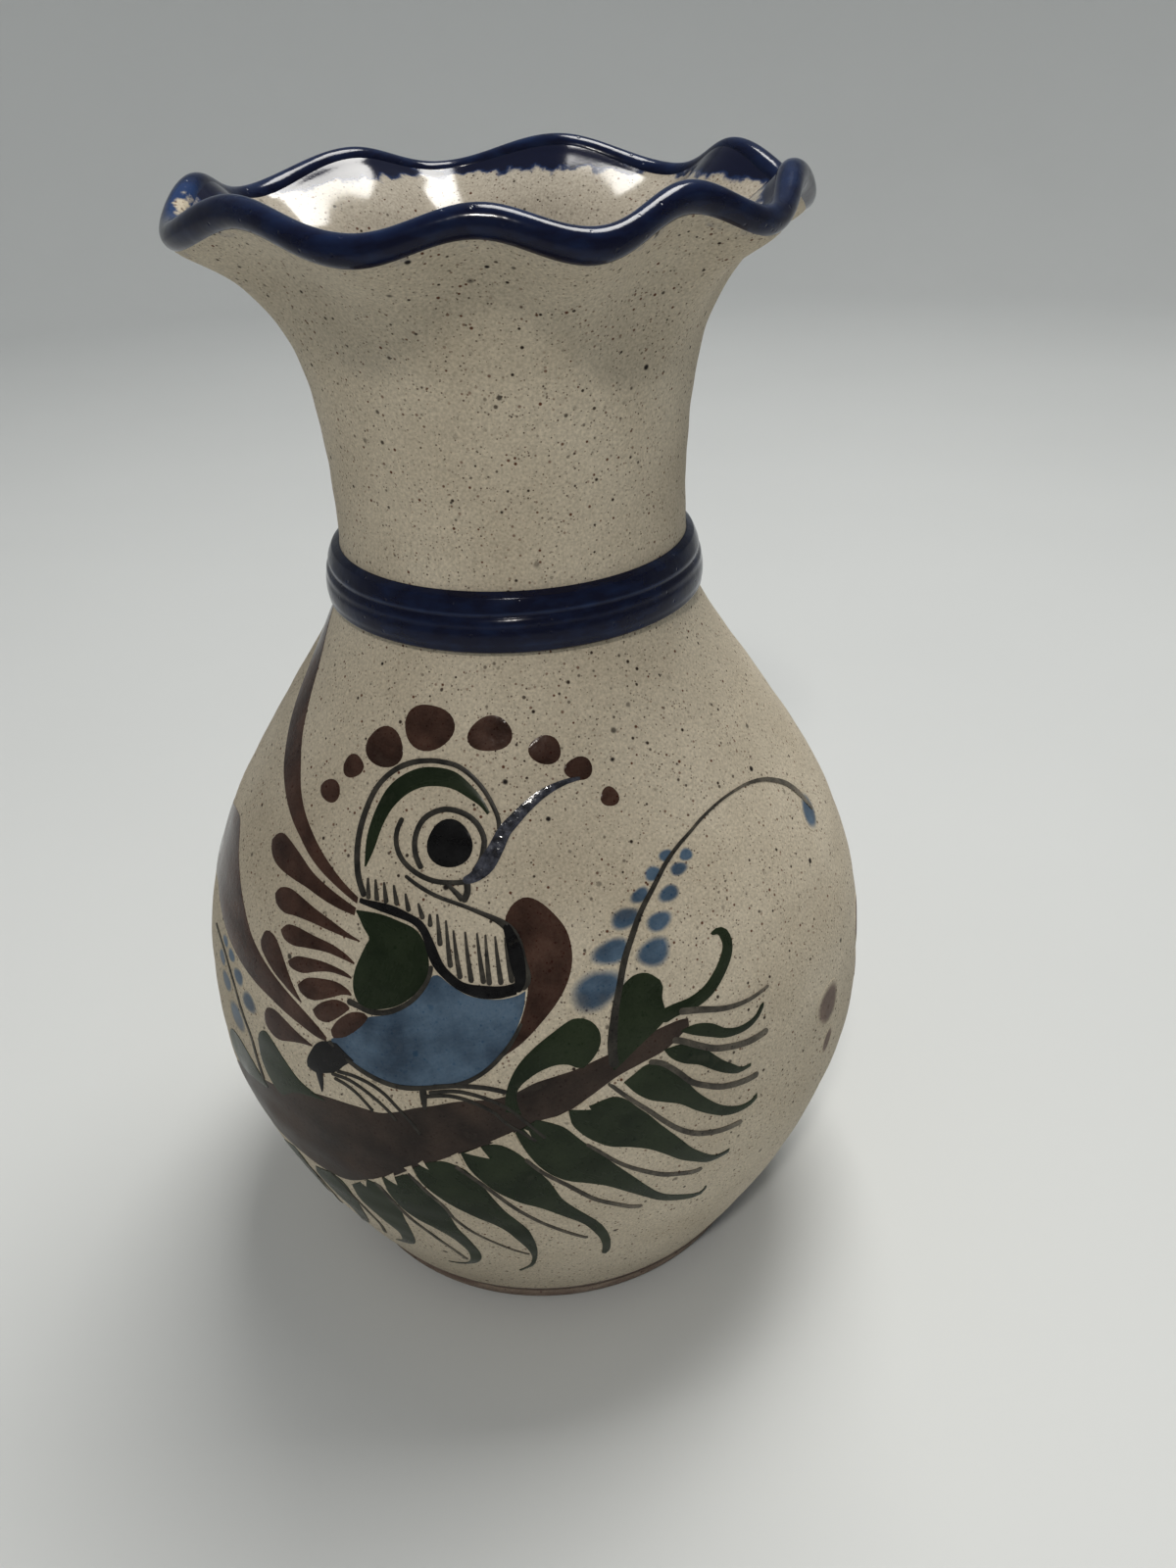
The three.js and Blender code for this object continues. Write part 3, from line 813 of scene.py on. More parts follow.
# Breast ticks: their tops lie on the throat line, and the longer ones run down to the band.
TICKS = [
    ((-31.3, 118), (-30.3, 114.8)), ((-29.7, 118.1), (-28.6, 114.9)), ((-27.9, 118), (-26.7, 114.9)),
    ((-25.9, 117.9), (-24.6, 114.9)), ((-23.4, 117), (-22.3, 114.3)), ((-20.8, 115.9), (-19.6, 113.5)),
    ((-18.5, 114.5), (-18.2, 112.5)), ((-17.2, 114.6), (-16.2, 109.8)), ((-15.6, 113.8), (-14.3, 106.5)),
    ((-14.2, 112.4), (-12.7, 104.8)), ((-12.2, 112.3), (-10.9, 104.3)), ((-10.2, 112.2), (-9, 104.2)),
    ((-8.8, 112), (-8.1, 104)), ((-7.2, 111.8), (-6.3, 104.1)), ((-5.6, 111.6), (-4.6, 104.4)),
]
shells = [stroke(line, widths, layer=2) for line, widths in OUTLINES]
for top, foot in TICKS:
    middle = ((top[0] + foot[0]) / 2, (top[1] + foot[1]) / 2)
    shells.append(stroke([top, middle, foot], [0.16, 0.36, 0.5], layer=2, load=0.9))
make_piece("bird_lines", shells, ink, "ink_slip")

BAND = (
    [(-32, 114.6), (-26, 114.8), (-22, 114), (-19.5, 113), (-17.5, 110.5), (-15.5, 107),
     (-14, 105.5), (-12, 104.2), (-9, 103.9), (-6, 103.9), (-3.5, 104.6)],
    [(-32, 113.9), (-24, 113.1), (-21, 112.4), (-19.3, 110.8), (-18.3, 108.5), (-17.2, 106.5),
     (-15.5, 104.8), (-13, 103), (-10, 101.9), (-7, 101.8), (-4, 102.5)],
)
CLAW = (
    [(-29.8, 86.2), (-31.5, 84.5), (-33, 82.5), (-35, 81.2), (-37, 80.2), (-38.6, 80.6)],
    [(-33, 88.5), (-35.5, 87.8), (-37, 86.5), (-38, 84.5), (-38.8, 82.4), (-38.8, 80.8)],
)
shells = [
    dot(-16.2, 125.2, 4.2, 4.15, layer=2, wobble=0.035),
    blade(*BAND, layer=3),
    blade(*CLAW, layer=2),
    stroke([(-36.6, 82.5), (-36.3, 79), (-36.3, 76)], [1.1, 0.7, 0.15], layer=2),
    stroke(
        [(-5.4, 113.6), (-4.2, 110.5), (-3.6, 107.5), (-3.3, 104.8), (-4, 102.9)],
        [0.6, 1.2, 1.3, 1.0, 0.7],
        layer=3,
    ),
]
make_piece("eye_band_and_claw", shells, black, "ink_slip")
PLUME = [
    (-13, 119.9), (-11, 120.6), (-9, 122.3), (-7, 125), (-5.5, 127.3), (-3.5, 129), (-1, 130.8),
    (2, 132.4), (5, 133.4), (8, 134), (11, 134.2),
]
PLUME_HALF = [0.6, 1.0, 1.5, 1.35, 1.2, 1.1, 0.95, 0.8, 0.62, 0.45, 0.28]
make_piece("crest_plume", [stroke(PLUME, PLUME_HALF, layer=3)], plume_black_with_painted_glitter, "ink_slip")

# The branch and its leaves.
# A thick brown branch carries the bird round the left of the vase. Leaves of green slip hang
# from it like a fern, each laid with one full brush that lifts away to a thread at the tip.
BRANCH = (
    [(-106, 21), (-100, 25.5), (-94, 30), (-88, 35), (-82, 41), (-76, 47.5), (-71, 54), (-66, 59.5),
     (-60, 64), (-54, 67), (-49, 69), (-44, 71), (-40, 73.6), (-36, 75), (-30, 75.8), (-26, 76),
     (-23, 77.3), (-20, 79.2), (-17, 80.5), (-14, 81.8), (-11, 82.5), (-8, 83), (-5, 84.2),
     (-2, 86.2), (1, 87.3), (4, 88.2), (8, 89.8), (12, 91), (16, 92.5), (20, 93.2), (22, 93)],
    [(-106, 20.4), (-99, 21.5), (-92, 23), (-85, 25.6), (-79, 28.8), (-73, 33.5), (-68, 38),
     (-63, 42.5), (-58, 46.5), (-53, 49.5), (-48, 50.2), (-44, 50), (-40, 50.2), (-37, 50.8),
     (-34, 52.4), (-30, 56), (-26, 59), (-22, 63), (-18, 66.5), (-14, 69.5), (-10, 72), (-6, 75),
     (-2, 78), (2, 79.5), (6, 82.5), (10, 85.5), (14, 87.2), (18, 88.6), (22, 91.5)],
)
dull_brown = slip("dull_branch_brown_slip", "#1f1412", "#35241f", 0.34, 9.0, 0.07, 0.03)
make_piece("branch", [blade(*BRANCH)], dull_brown, "brown_slip")

LEAVES = [
    (
        [(-35, 50), (-35.2, 46), (-34.2, 42), (-32.5, 38), (-30.6, 34), (-30.5, 31), (-31.5, 28),
         (-33.5, 25.5), (-34.8, 24)],
        [(-30.5, 55.5), (-28.8, 55), (-27.8, 52), (-26.8, 49), (-26.3, 46), (-26.4, 42),
         (-26.6, 38), (-27, 34), (-27.8, 30), (-29.5, 27.5), (-31.5, 25.8), (-33.5, 24.8)],
    ),
    (
        [(-27, 58.7), (-27.2, 55), (-26.5, 51), (-25.5, 47.5), (-23.5, 45), (-21, 43), (-19, 40.5),
         (-17.5, 37.5), (-16.6, 34), (-16.5, 31), (-17, 28), (-18, 25.5), (-19.5, 24),
         (-21.5, 22.8), (-23, 22.3)],
        [(-24.5, 60), (-22.5, 61.5), (-21, 59.5), (-19, 56), (-17.5, 52), (-17, 48), (-16.6, 45),
         (-15.5, 41), (-14.7, 37), (-14.3, 34), (-14.3, 31), (-15, 28.5), (-16.3, 26), (-18.3, 24),
         (-20.5, 22.6), (-23, 22)],
    ),
    (
        [(-21.3, 64), (-20.5, 60.5), (-18.3, 57), (-16, 54), (-14, 52), (-12, 50), (-10, 48),
         (-8, 45), (-6.5, 41), (-5.3, 37), (-4.8, 33), (-5.3, 29), (-6.5, 26), (-8, 23.8)],
        [(-18.5, 66.5), (-16, 67.2), (-13.5, 66), (-12.5, 65), (-10.5, 61), (-9, 57), (-7.8, 53.5),
         (-6.2, 50), (-4.7, 46), (-4, 42), (-3.7, 38), (-3.8, 34), (-4.3, 30), (-5.2, 27),
         (-6.8, 24.5), (-7.6, 23.2)],
    ),
    (
        [(-13.5, 70), (-12.5, 66.5), (-11, 63.5), (-9, 60.5), (-7, 58.5), (-5, 56.7), (-2.5, 55),
         (0, 52.5), (2.5, 49.5), (4.5, 46.5), (6, 43), (7.2, 39), (7.8, 35), (7.9, 31)],
        [(-9.5, 72.5), (-7.5, 72.5), (-5.5, 71), (-4, 69), (-2.3, 66), (-0.8, 63), (0.2, 60),
         (1, 57.5), (2.5, 54.5), (4.5, 51), (6.3, 47.5), (7.7, 44), (8.7, 40), (9.2, 36), (9.3, 32),
         (8.7, 30.3)],
    ),
    (
        [(-5.2, 75.5), (-4, 71.5), (-2.5, 68), (-0.5, 65), (2, 62.7), (5, 61.3), (8, 59.5),
         (11, 56.5), (14, 53), (17, 49.5), (20, 47), (23, 45.2), (25.2, 44.9)],
        [(-2, 78.5), (0, 77.5), (2, 76), (4, 73), (6, 70), (8, 67), (10, 63.8), (12, 60.5),
         (14, 57), (16, 53.5), (18, 51), (20.5, 48.8), (23, 46.8), (25, 45.9)],
    ),
    (
        [(2.7, 80), (3, 77), (4.2, 74.5), (6, 72.2), (8.5, 70), (11.5, 68.8), (14.5, 67),
         (17, 64.5), (19.5, 61.5), (22, 59.3), (24.5, 57.3), (26.5, 56.8), (28.5, 57)],
        [(6, 80.5), (9, 81.5), (11, 80.5), (12.8, 78), (14.5, 75.5), (16.2, 72.5), (18, 69.5),
         (19.8, 66.5), (21.5, 63.5), (23.5, 60.8), (25.5, 58.6), (27, 58), (28.6, 58.2)],
    ),
    (
        [(11, 84), (12.5, 81.5), (14.5, 79.2), (17, 77.5), (19.5, 75.8), (22, 73), (24.5, 70.5),
         (27, 68.5), (29.5, 67.5), (32, 67.4), (33.6, 68.2)],
        [(14, 86.3), (16, 86.6), (18.5, 85), (20, 82.5), (21, 80), (22.5, 77), (24.5, 74),
         (26.5, 71.5), (28.5, 69.8), (30.5, 68.7), (32.3, 68.6), (33.6, 69.5)],
    ),
    (
        [(17.5, 88.6), (18.5, 86.5), (20.5, 84.5), (23, 83), (25.5, 80.5), (28, 78.3), (30, 77.2),
         (32.2, 77.2)],
        [(19, 88.6), (21.5, 88.4), (23.5, 87), (25, 84.8), (27, 82), (29, 79.8), (30.5, 78.2),
         (32.3, 77.9)],
    ),
    (
        [(20.5, 91), (22.5, 89.5), (25, 88), (27.5, 86.5), (30, 85.8), (32.5, 85.8), (34.5, 86.8),
         (35.8, 88.3)],
        [(21, 91.3), (23.5, 91.3), (26, 90.2), (28, 88.3), (30, 87.3), (32, 87.1), (34, 87.6),
         (35.3, 89), (36, 89.2)],
    ),
    (
        [(-44.5, 47.5), (-45.5, 44), (-45, 40), (-43.4, 36.5), (-42, 33), (-41.8, 29.5), (-43, 26),
         (-45.4, 23)],
        [(-39.5, 50.5), (-37.6, 49), (-36.8, 45.5), (-36.8, 41.5), (-37.2, 37.5), (-37.9, 33.5),
         (-39, 29.5), (-41, 26), (-44.4, 23.4)],
    ),
    (
        [(-56, 44.5), (-57.5, 41), (-57.4, 37), (-56, 33.5), (-54.5, 30), (-54.4, 27), (-56, 24),
         (-59, 21.5)],
        [(-50, 49), (-48.4, 46.5), (-47.8, 43), (-48.3, 39), (-49.4, 35), (-50.4, 31),
         (-51.6, 27.5), (-54, 24), (-58, 21.8)],
    ),
    (
        [(-68, 34.5), (-69.6, 31), (-69.2, 27.5), (-68, 24.5), (-67.8, 21.5), (-69.8, 18.5)],
        [(-62.5, 42), (-60.4, 40), (-59.9, 36), (-60.8, 32), (-62, 28), (-63.8, 24), (-67.6, 19)],
    ),
]
COMMA_LEAF = (
    [(-6.4, 80.5), (-6.2, 84), (-5.3, 87.5), (-3.8, 90.5), (-1.5, 93.3), (1.2, 95.6), (4.2, 97.5),
     (6.6, 97), (8, 95), (8, 92.5), (6.9, 90.2), (5.3, 88.4)],
    [(-4, 79.8), (-4.6, 82.5), (-4.4, 85), (-3, 87), (-1, 88.6), (1.2, 89.5), (3, 89.4), (4.1, 88.7)],
)
CURLED_LEAF = (
    [(9.6, 87), (9, 90.5), (9.3, 94), (10.2, 97.5), (11.3, 100.3), (12.8, 102.2), (14.7, 103.2),
     (16.8, 102.9), (18.5, 101.2)],
    [(9.8, 87), (11, 88), (13, 89.8), (15, 91.5), (17, 93), (18.6, 94.5), (18.5, 96.5),
     (18.4, 98.1), (18.8, 99.8)],
)
CURL = [
    (17.5, 94.5), (20, 95.2), (23, 95.4), (26, 96.4), (28.5, 98.3), (30.6, 100.8), (31.5, 103),
    (31.2, 104.9), (30.2, 105.7), (29, 105.6),
]
CURL_HALF = [1.4, 1.2, 1.2, 1.2, 1.2, 1.2, 1.1, 1.0, 0.6, 0.3]
shells = [blade(*edges, layer=1) for edges in LEAVES]
shells += [blade(*COMMA_LEAF, layer=1), blade(*CURLED_LEAF, layer=1), stroke(CURL, CURL_HALF, layer=1)]
shells += [stroke([(24.6, 45.4), (25.6, 46.4), (25.6, 47.6)], [0.6, 0.4, 0.2], layer=1)]
make_piece("fern_leaves", shells, green, "green_slip")

# Where each leaf springs, the painter leaves a nick of bare clay, like a thorn.
NICKS = [
    [(3.3, 80.2), (5.2, 81.6), (5.9, 79.7)], [(-3.9, 76.5), (-3.2, 76), (-2.9, 74.6)],
    [(-8.9, 73.4), (-5.5, 75.8), (-4.5, 72.5)], [(-15, 69), (-13.9, 70), (-13, 66.8)],
    [(-12.8, 70.2), (-10.4, 72), (-9.2, 69.2)], [(-22.8, 63.5), (-21.5, 64.6), (-20.8, 60.5)],
    [(-20.3, 65.6), (-19.5, 66.7), (-18.7, 64.5)], [(-29.3, 56.5), (-27.2, 58.6), (-27, 55)],
    [(-26.6, 59), (-24.9, 61), (-24.6, 57.6)], [(-32.2, 53.5), (-30.7, 55.2), (-31.3, 52.5)],
    [(0.3, 78.6), (2.6, 80), (3, 77)], [(8.9, 84.5), (11, 85.2), (11, 83)],
]
shells = []
for low, tip, far in NICKS:
    edges = [[low, (np.array(low) + tip) / 2, tip], [far, (np.array(far) + tip) / 2, tip]]
    shells.append(blade(*edges, layer=3, load=0.0))
make_piece("reserved_nicks", shells, green, "speckled_clay")

# Thin grey strokes shadow the leaves, swelling and fading as the brush turns.
SHADOWS = [
    ([(-28.9, 56), (-27.5, 52), (-26.3, 47.5), (-24.5, 43.5), (-22.5, 39.5), (-20.5, 35),
      (-18.7, 31), (-17.6, 28)], 0.5, 0.4),
    ([(-22.3, 62), (-20, 58), (-17.5, 53), (-16.6, 49), (-15, 45.5), (-12.5, 42), (-10.5, 39.5),
      (-8, 36.7), (-6, 34.8), (-5.2, 34.2)], 0.4, 0.25),
    ([(-14.5, 66.5), (-12.3, 64), (-10, 61), (-8, 58), (-6, 54.5), (-4, 51.5), (-2, 48.5), (0, 46),
      (2, 43.8), (3.8, 41.8), (5, 40.6)], 0.4, 0.4),
    ([(-4, 69), (-2, 66), (0, 63.6), (2, 61.3), (4, 58.7), (6, 56), (8, 54), (10, 52.2), (12, 50.4),
      (13.8, 49.5)], 0.35, 0.6),
    ([(5, 71.5), (7, 69), (9, 66.3), (11, 64), (13, 62), (15, 60.2), (17, 58.6), (20, 57), (22, 56),
      (23.7, 55.8)], 0.3, 0.65),
    ([(8.7, 84.5), (10.5, 82), (12.5, 79.3), (14.5, 76.5), (16.5, 73.5), (19, 70), (21.5, 67.5),
      (24, 66), (27, 64.9), (30.6, 64.4)], 0.35, 0.65),
    ([(15, 87), (17, 86), (19.5, 83), (21.5, 80), (24, 77.8), (26.5, 76), (29, 75), (31.5, 74.4),
      (33.8, 74.3)], 0.5, 0.7),
    ([(19, 90), (21, 88.8), (23.5, 86.8), (26, 85), (29, 83.8), (32, 83), (34.5, 82.9),
      (36.2, 83)], 0.6, 0.7),
    ([(20.7, 94.8), (24, 93.8), (28, 92.2), (31, 91.5), (34, 91.3), (37.6, 91.7)], 0.7, 0.3),
    ([(-39.5, 50), (-37.2, 45), (-35.9, 40), (-34.9, 35), (-34.8, 31), (-36, 27)], 0.45, 0.4),
    ([(-49.5, 47), (-47.4, 42), (-46.8, 37), (-47, 32), (-48.4, 27)], 0.45, 0.4),
    ([(-61, 39), (-58.8, 34), (-58.9, 29), (-60.4, 24)], 0.45, 0.35),
]
shells = [
    stroke(line, np.linspace(start, end, len(line)), layer=2, load=0.84, dry_tip=0.12)
    for line, start, end in SHADOWS
]
make_piece("leaf_shadows", shells, ink, "ink_slip")

# The sprays.
# Drooping stems of thin ink rise behind the bird on both sides, hung with soft touches of blue
# wash that bleed into the clay. The right one curls over and ends in a single blue drop.
RIGHT_STEM = [
    (9.8, 87.5), (9.8, 92), (10.6, 97), (11.8, 101.5), (13.3, 106), (15.2, 109.5), (17.5, 112.8),
    (20.5, 115.8), (24, 118.7), (27.5, 120.6), (31, 121.9), (35, 123.2), (40, 124.1), (45, 124.3),
    (50, 123.9), (55, 122.6), (59, 120.7), (62, 118.6), (64.3, 115.8), (65.7, 113), (66.4, 111),
]
RIGHT_HALF = [
    0.9, 0.9, 0.7, 0.6, 0.6, 0.55, 0.5, 0.45, 0.4, 0.35, 0.3,
    0.28, 0.25, 0.25, 0.3, 0.4, 0.5, 0.6, 0.7, 0.6, 0.4,
]
LEFT_STEM = [
    (-51.5, 68), (-52.5, 72), (-54, 77), (-56.5, 81.5), (-60, 85.8), (-64, 88.8), (-68, 90),
    (-72, 90.3),
]
LEFT_HALF = [0.6, 0.55, 0.5, 0.45, 0.4, 0.35, 0.35, 0.3]
shells = [stroke(RIGHT_STEM, RIGHT_HALF, layer=2, dry_tip=0.35)]
shells.append(stroke(LEFT_STEM, LEFT_HALF, layer=2, load=0.85))
make_piece("spray_stems", shells, ink, "ink_slip")
# Bearing, height, half width and half height in mm, and lean in degrees.
RIGHT_DROPS = [
    (8.5, 101.8, 4.4, 3.0, 22), (11.5, 107.8, 3.2, 1.9, 10), (14.6, 112.4, 2.6, 1.6, 8),
    (18, 115.3, 1.75, 1.2, 20), (21.3, 117.9, 1.5, 1.15, 0), (24.8, 119.9, 1.3, 0.95, 0),
    (18.2, 106, 2.9, 2.2, 12), (20.2, 110.6, 2.25, 1.55, 10), (23.4, 114.3, 1.95, 1.35, 10),
    (26.3, 117.4, 1.65, 1.1, 0), (28.7, 119, 1.25, 0.95, 0), (64.6, 111.4, 3.0, 2.5, 60),
]
LEFT_DROPS = [
    (-59, 78, 3.2, 2.9, 0), (-63, 83.5, 2.5, 1.7, 0), (-54, 85.3, 2.5, 1.9, 0), (-58, 88.3, 2.0, 1.4, 0),
    (-61.5, 90.6, 1.6, 1.1, 0), (-65, 91.4, 1.5, 1.0, 0), (-66, 87, 1.9, 1.3, 0),
]
shells = [
    dot(b, h, wide, high, lean, soft=1.0, load=0.94)
    for b, h, wide, high, lean in RIGHT_DROPS + LEFT_DROPS
]
make_piece("spray_drops", shells, wash, "blue_slip")

# The ribbons and the left leaves.
# Two long brown ribbons sweep down round the left shoulder to the bird's back, and two green
# leaves sit on the branch under the left spray.
UPPER_RIBBON = (
    [(-104, 153.6), (-98, 153.4), (-92, 152.8), (-86, 151), (-80, 148), (-76, 145), (-72, 141.5),
     (-68, 137.5), (-64, 133.5), (-60, 130), (-56, 126.5), (-52, 123.8), (-48, 121.6), (-44, 119.6),
     (-40, 117.8), (-36, 116), (-32.5, 114.6)],
    [(-104, 153.2), (-99, 151.6), (-91, 147), (-82, 141), (-78, 137), (-74, 133.5), (-70, 130),
     (-66, 127), (-62, 124.8), (-58, 122.8), (-54, 121), (-50, 119.5), (-46, 117.8), (-42, 116.4),
     (-38, 115.2), (-34, 114), (-32.5, 113.6)],
)
LOWER_RIBBON = (
    [(-122, 94.5), (-118, 97.5), (-110, 100), (-102, 102.5), (-94, 105.2), (-88, 107.8),
     (-82, 110.5), (-76, 112), (-72, 111), (-68, 108), (-64, 105), (-60, 102), (-56, 99), (-52, 97),
     (-48, 95.4), (-44, 93.8), (-40, 92), (-37, 90.3), (-35, 88.8)],
    [(-122, 94.2), (-118, 92.8), (-110, 92.4), (-102, 93), (-94, 94.2), (-88, 95.3), (-82, 96),
     (-76, 97), (-72, 96), (-68, 94.7), (-64, 93.4), (-60, 92.3), (-56, 91.5), (-52, 90.8),
     (-48, 90.3), (-44, 89.5), (-40, 88.7), (-37, 88), (-35, 88)],
)
make_piece("ribbons", [blade(*UPPER_RIBBON), blade(*LOWER_RIBBON)], brown, "brown_slip")
LEFT_LEAVES = [
    (
        [(-51.5, 78.5), (-50.5, 81), (-48.8, 82.2), (-46.5, 80.8), (-44, 78.2), (-41.5, 75.8),
         (-38.5, 74.6), (-36, 74.2)],
        [(-51.5, 78.5), (-51.3, 75), (-50, 71.5), (-48, 69), (-46, 68.5), (-44, 70.5), (-42, 72),
         (-39.5, 73), (-36, 73.9)],
    ),
    (
        [(-66, 63.5), (-65.5, 68), (-63, 71.3), (-59.5, 72.3), (-56, 71), (-53, 69), (-50.5, 67.2)],
        [(-66, 63.5), (-63, 62.6), (-60, 63), (-57, 64.2), (-54, 65.4), (-50.5, 66.6)],
    ),
]
make_piece("left_leaves", [blade(*edges, layer=1) for edges in LEFT_LEAVES], green, "green_slip")

# The back.
# The far side carries a round blossom: a brown eye with a ring of dots, eight blue petals
# outlined in ink, and two leafy stems that sweep up beside it and end in sprays of blue.
BLOSSOM_AT, BLOSSOM_HEIGHT = 176.0, 84.0
# Edge of a petal: degrees off its middle line, and mm from the blossom's middle.
PETAL = [(6, 8.5), (17, 12), (21, 17), (15, 22), (0, 25)]


def about_blossom(turn, far):
    """Bearing and height of a spot that lies `far` mm from the blossom's middle at an angle."""
    angle = np.radians(turn)
    spot = step_on_wall(BLOSSOM_AT, BLOSSOM_HEIGHT, far * np.cos(angle), far * np.sin(angle))
    return float(spot[0]), float(spot[1])


petals, petal_lines = [], []
for turn in np.arange(0, 360, 45) + 22:
    near, beyond = ([about_blossom(turn + k * lean, far) for lean, far in PETAL] for k in (1, -1))
    petals.append(blade(near, beyond))
    petal_lines.append(stroke(near + beyond[-2::-1], 0.38, layer=1, load=0.85))
    vein = [about_blossom(turn, far) for far in (9, 13, 17)]
    petal_lines.append(stroke(vein, [0.5, 0.35, 0.15], layer=1))
make_piece("blossom_petals", petals, wash, "blue_slip")
centre = [dot(BLOSSOM_AT, BLOSSOM_HEIGHT, 5.6, 5.4, layer=1)]
centre += [dot(*about_blossom(turn, 30), 1.7, 1.6, layer=1) for turn in np.arange(0, 360, 22.5) + 22]
make_piece("blossom_dots", centre, brown, "brown_slip")
ring_line = [about_blossom(turn, 7.4) for turn in range(0, 361, 30)]
petal_lines.append(stroke(ring_line, 0.45, layer=1, load=0.85))
# Two stems cross under the blossom, sweep out and up on both sides, and end in a spray.
STEM = [
    (-6, 50), (4, 47), (16, 47), (28, 51.5), (38, 60),
    (44, 71), (46, 83), (44, 95), (39, 105), (31, 111),
]
# Leaves on a stem: share of its length, way it sets off in degrees, length and fatness in mm.
STEM_LEAVES = [
    (0.14, -62, 15, 3.0), (0.26, -48, 18, 3.4), (0.38, -30, 19, 3.5), (0.5, -8, 18, 3.2),
    (0.62, 14, 15, 2.7), (0.24, 78, 12, 2.5), (0.36, 98, 13, 2.5), (0.48, 120, 12, 2.3),
]
stems = {side: [(BLOSSOM_AT + side * b, h) for b, h in STEM] for side in (-1, 1)}


def leaf(bearing, height, turn, length, fat, bend):
    """Edges of a leaf that starts at a spot, sets off at an angle and bends as it goes. Its half
    width is a half sine that leans to the base and runs out in a thread."""
    t = np.linspace(0, 1, 9)
    angle = np.radians(turn + bend * t)
    along = np.cumsum(np.stack([np.cos(angle), np.sin(angle)]) * length / 8, 1)
    along -= along[:, :1]
    wide = fat * np.sin(np.pi * t**0.7) * (1 - 0.55 * t) + 0.25 * (1 - t)
    sides = (along + k * wide * np.stack([-np.sin(angle), np.cos(angle)]) for k in (1, -1))
    return [np.stack(step_on_wall(bearing, height, x, y), 1) for x, y in sides]


leaves, drops = [], []
for side, line in stems.items():
    petal_lines.append(stroke(line, np.linspace(0.85, 0.3, len(line)), layer=1))
    for share_along, lean, length, fat in STEM_LEAVES:
        spot = walk(line, [share_along])[0][0]
        turn, bend = (lean, 34) if side > 0 else (180 - lean, -34)
        leaves.append(blade(*leaf(spot[0], spot[1], turn, length, fat, bend), layer=1))
        shadow = leaf(spot[0], spot[1] - 1.6, turn - 7 * side, length * 0.86, 0.2, bend)[0]
        petal_lines.append(stroke(shadow[1:], np.linspace(0.3, 0.45, 8), layer=1, load=0.72))
    for i, (bearing, height) in enumerate(walk(line, np.linspace(0.7, 0.98, 6))[0]):
        size = 2.5 - 0.28 * i
        for off in (-1, 1):
            there = step_on_wall(bearing, height, side * off * (size + 0.9), off * 0.5 * size)
            drops.append(dot(float(there[0]), float(there[1]), size, size * 0.7, 12 * side, soft=1.0))
make_piece("blossom_lines", petal_lines, ink, "ink_slip")
make_piece("blossom_leaves", leaves, green, "green_slip")
make_piece("back_drops", drops, wash, "blue_slip")
# Thinned brown, almost mauve, for the soft drops that lead round to the front again.
mauve = slip("thinned_brown_wash", "#54433f", "#6d5a54", 0.6, 6.0, 0.2, 0.04)
MAUVE_DROPS = [
    (53, 76, 4.3, 4.3, 60), (52.8, 66.4, 2.6, 1.7, 50), (74, 79, 4.6, 4.0, 20), (73, 68, 2.8, 1.9, 20),
    (89, 82, 4.0, 3.4, 10), (88, 72.5, 2.4, 1.7, 10), (102, 86, 3.3, 2.8, 10), (101, 78, 2.0, 1.5, 10),
    (112.5, 91, 2.4, 2.1, 0), (111.5, 84.5, 1.5, 1.2, 0),
]
shells = [dot(b, h, wide, high, lean, soft=0.5, load=0.9) for b, h, wide, high, lean in MAUVE_DROPS]
make_piece("mauve_drops", shells, mauve, "brown_slip")

# The stage.
# A plain pale floor that sweeps up into a round wall, a wide soft light behind and above, a
# small one in front that gives the glaze its highlights, and the viewing place.
FLAT_TO, SWEEP, WALL_TO = 1.2, 0.5, 1.3
BOARD_TURNS, BOARD_DROP = 97, 0.0003
BOARD_DARK, BOARD_PALE = "#cbcdcd", "#cfd1d1"
ROOM_GREY, ROOM_STRENGTH = "#9a9da0", 0.75

paper, tree, shader = new_finish("matte_white_board")
soft = noise(tree, object_spot(tree), 1000 / 6, 3.0)
tree.links.new(blend(tree, soft, BOARD_DARK, BOARD_PALE), shader.inputs["Base Color"])
tree.links.new(remap(tree, soft, wanted=(0.6, 0.7)), shader.inputs["Roughness"])
bend = np.radians(np.linspace(0, 90, 32))
swept = np.stack([FLAT_TO + SWEEP * np.sin(bend), SWEEP * (1 - np.cos(bend))], 1)
profile = np.concatenate([[(0.001, 0), (0.3, 0), (0.7, 0)], swept, [(FLAT_TO + SWEEP, WALL_TO)]])
turn = np.linspace(0, 360, BOARD_TURNS)
grid = place(turn, profile[:, :1], profile[:, 1:] - BOARD_DROP)
at = np.arange(len(profile) * BOARD_TURNS).reshape(-1, BOARD_TURNS)
quads = np.stack([at[:-1, :-1], at[:-1, 1:], at[1:, 1:], at[1:, :-1]], -1).reshape(-1, 4)
mesh = bpy.data.meshes.new("floor")
mesh.from_pydata(grid.reshape(-1, 3).tolist(), [], quads.tolist())
mesh.shade_smooth()
mesh.materials.append(paper)
floor = bpy.data.objects.new("floor", mesh)
bpy.context.scene.collection.objects.link(floor)


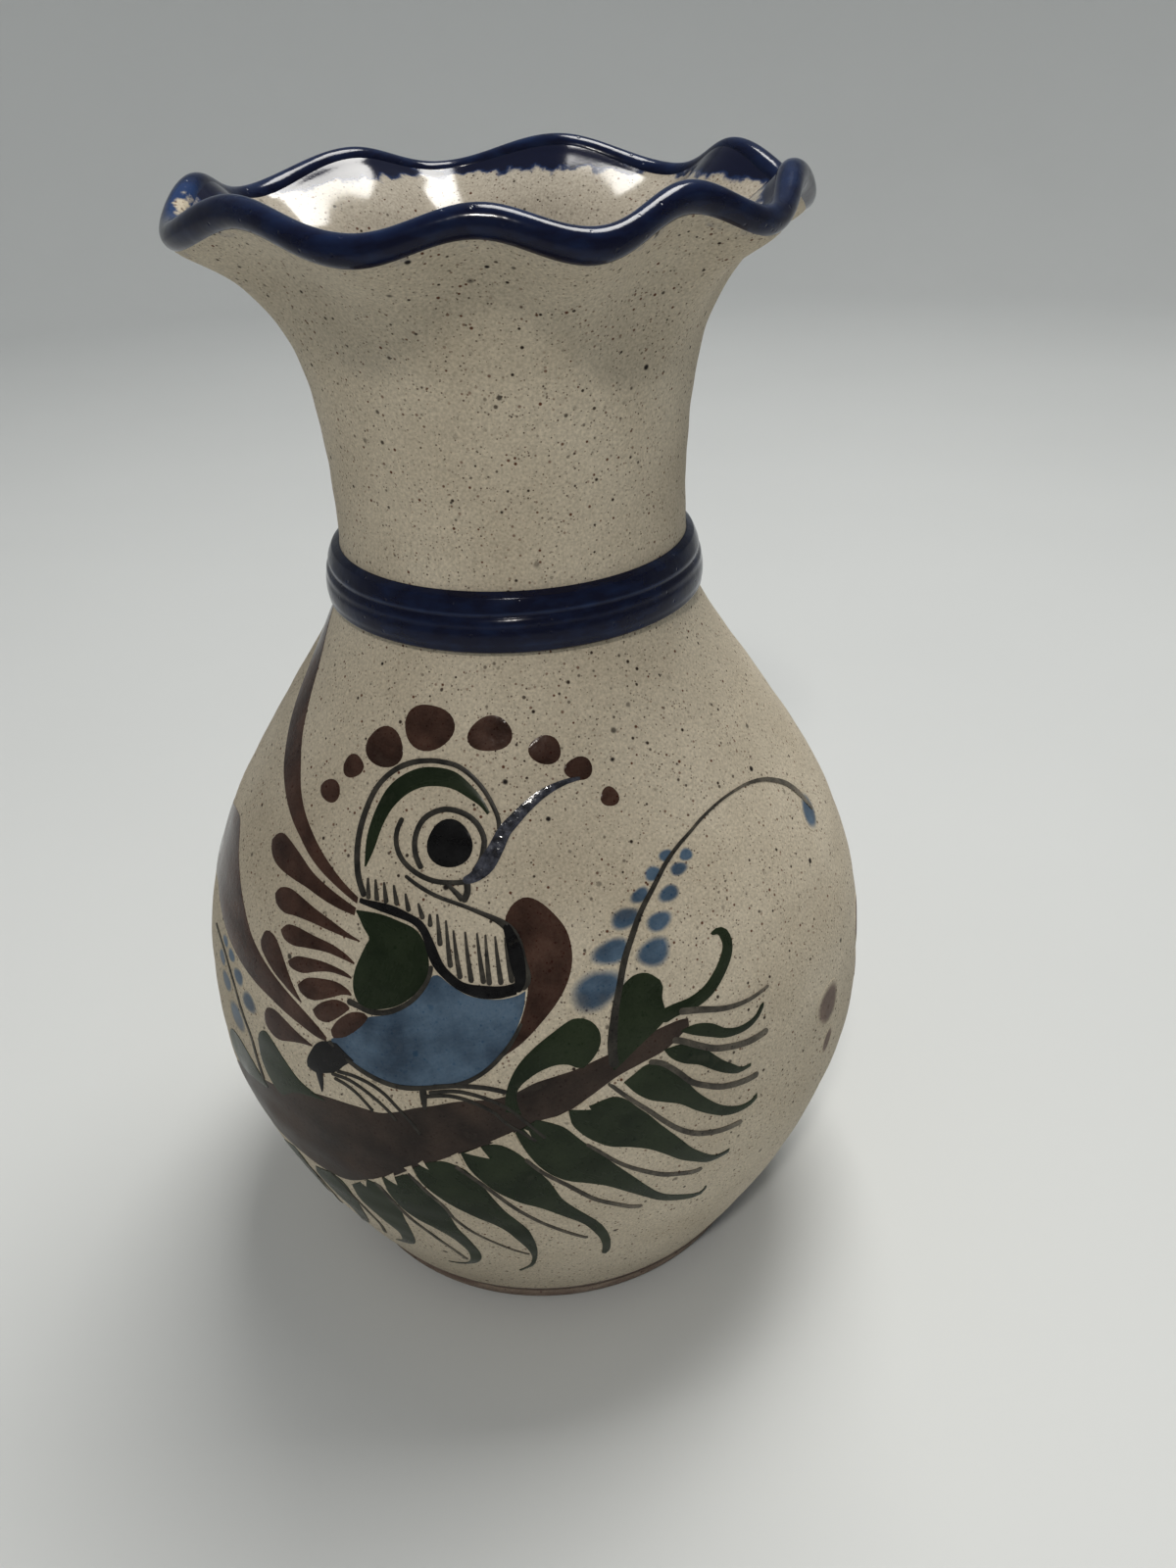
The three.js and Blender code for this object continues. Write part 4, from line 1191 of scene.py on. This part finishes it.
def add_light(name, spot, aim, size, power, colour, spread=180):
    """A square area light at a spot in metres, turned to face a point, with a grid over it that
    narrows its beam to so many degrees."""
    lamp = bpy.data.lights.new(name, "AREA")
    lamp.spread = np.radians(spread)
    lamp.size, lamp.energy, lamp.color = size, power, linear(colour)[:3]
    holder = bpy.data.objects.new(name, lamp)
    bpy.context.scene.collection.objects.link(holder)
    back = np.array(spot) - np.array(aim)
    back = back / np.linalg.norm(back)
    side = np.cross((0, 1, 0.01), back)
    side = side / np.linalg.norm(side)
    turn = np.eye(4)
    turn[:3, :3] = np.stack([side, np.cross(back, side), back], 1)
    turn[:3, 3] = spot
    holder.matrix_world = Matrix(turn.tolist())


add_light("high_softbox", (0.28, 0.42, 1.6), (0, 0, 0.05), 0.68, 11.2, "#fffdf8", spread=150)
add_light("front_lamp", (-0.08, -0.55, 0.72), (0, 0, 0.13), 0.06, 1.6, "#fffaf2")
world = bpy.data.worlds.new("room")
world.use_nodes = True
room = world.node_tree.nodes["Background"].inputs
room["Color"].default_value = linear(ROOM_GREY)
room["Strength"].default_value = ROOM_STRENGTH
bpy.context.scene.world = world

# The eye stands 0.24 m in front of the axis and 0.25 m up, and looks down by 31 degrees.
EYE = (0, -0.24034, 0.24801)
YAW, PITCH, ROLL = 0.053213, 0.534740, -0.035345
SENSOR_MM, LENS_MM, NEAREST = 36.0, 39.0, 0.01

ahead = np.array([np.sin(YAW) * np.cos(PITCH), np.cos(YAW) * np.cos(PITCH), -np.sin(PITCH)])
level_right = np.array([np.cos(YAW), -np.sin(YAW), 0])
level_up = np.cross(level_right, ahead)
right = np.cos(ROLL) * level_right + np.sin(ROLL) * level_up
up = np.cos(ROLL) * level_up - np.sin(ROLL) * level_right
lens = bpy.data.cameras.new("eye")
lens.sensor_fit, lens.sensor_width, lens.lens = "HORIZONTAL", SENSOR_MM, LENS_MM
lens.clip_start = NEAREST
eye = bpy.data.objects.new("eye", lens)
stand = np.eye(4)
stand[:3, :3] = np.stack([right, up, -ahead], 1)
stand[:3, 3] = EYE
eye.matrix_world = Matrix(stand.tolist())
bpy.context.scene.collection.objects.link(eye)
bpy.context.scene.camera = eye
bpy.context.scene.view_settings.view_transform = "Standard"
bpy.context.scene.view_settings.look = "Medium High Contrast"
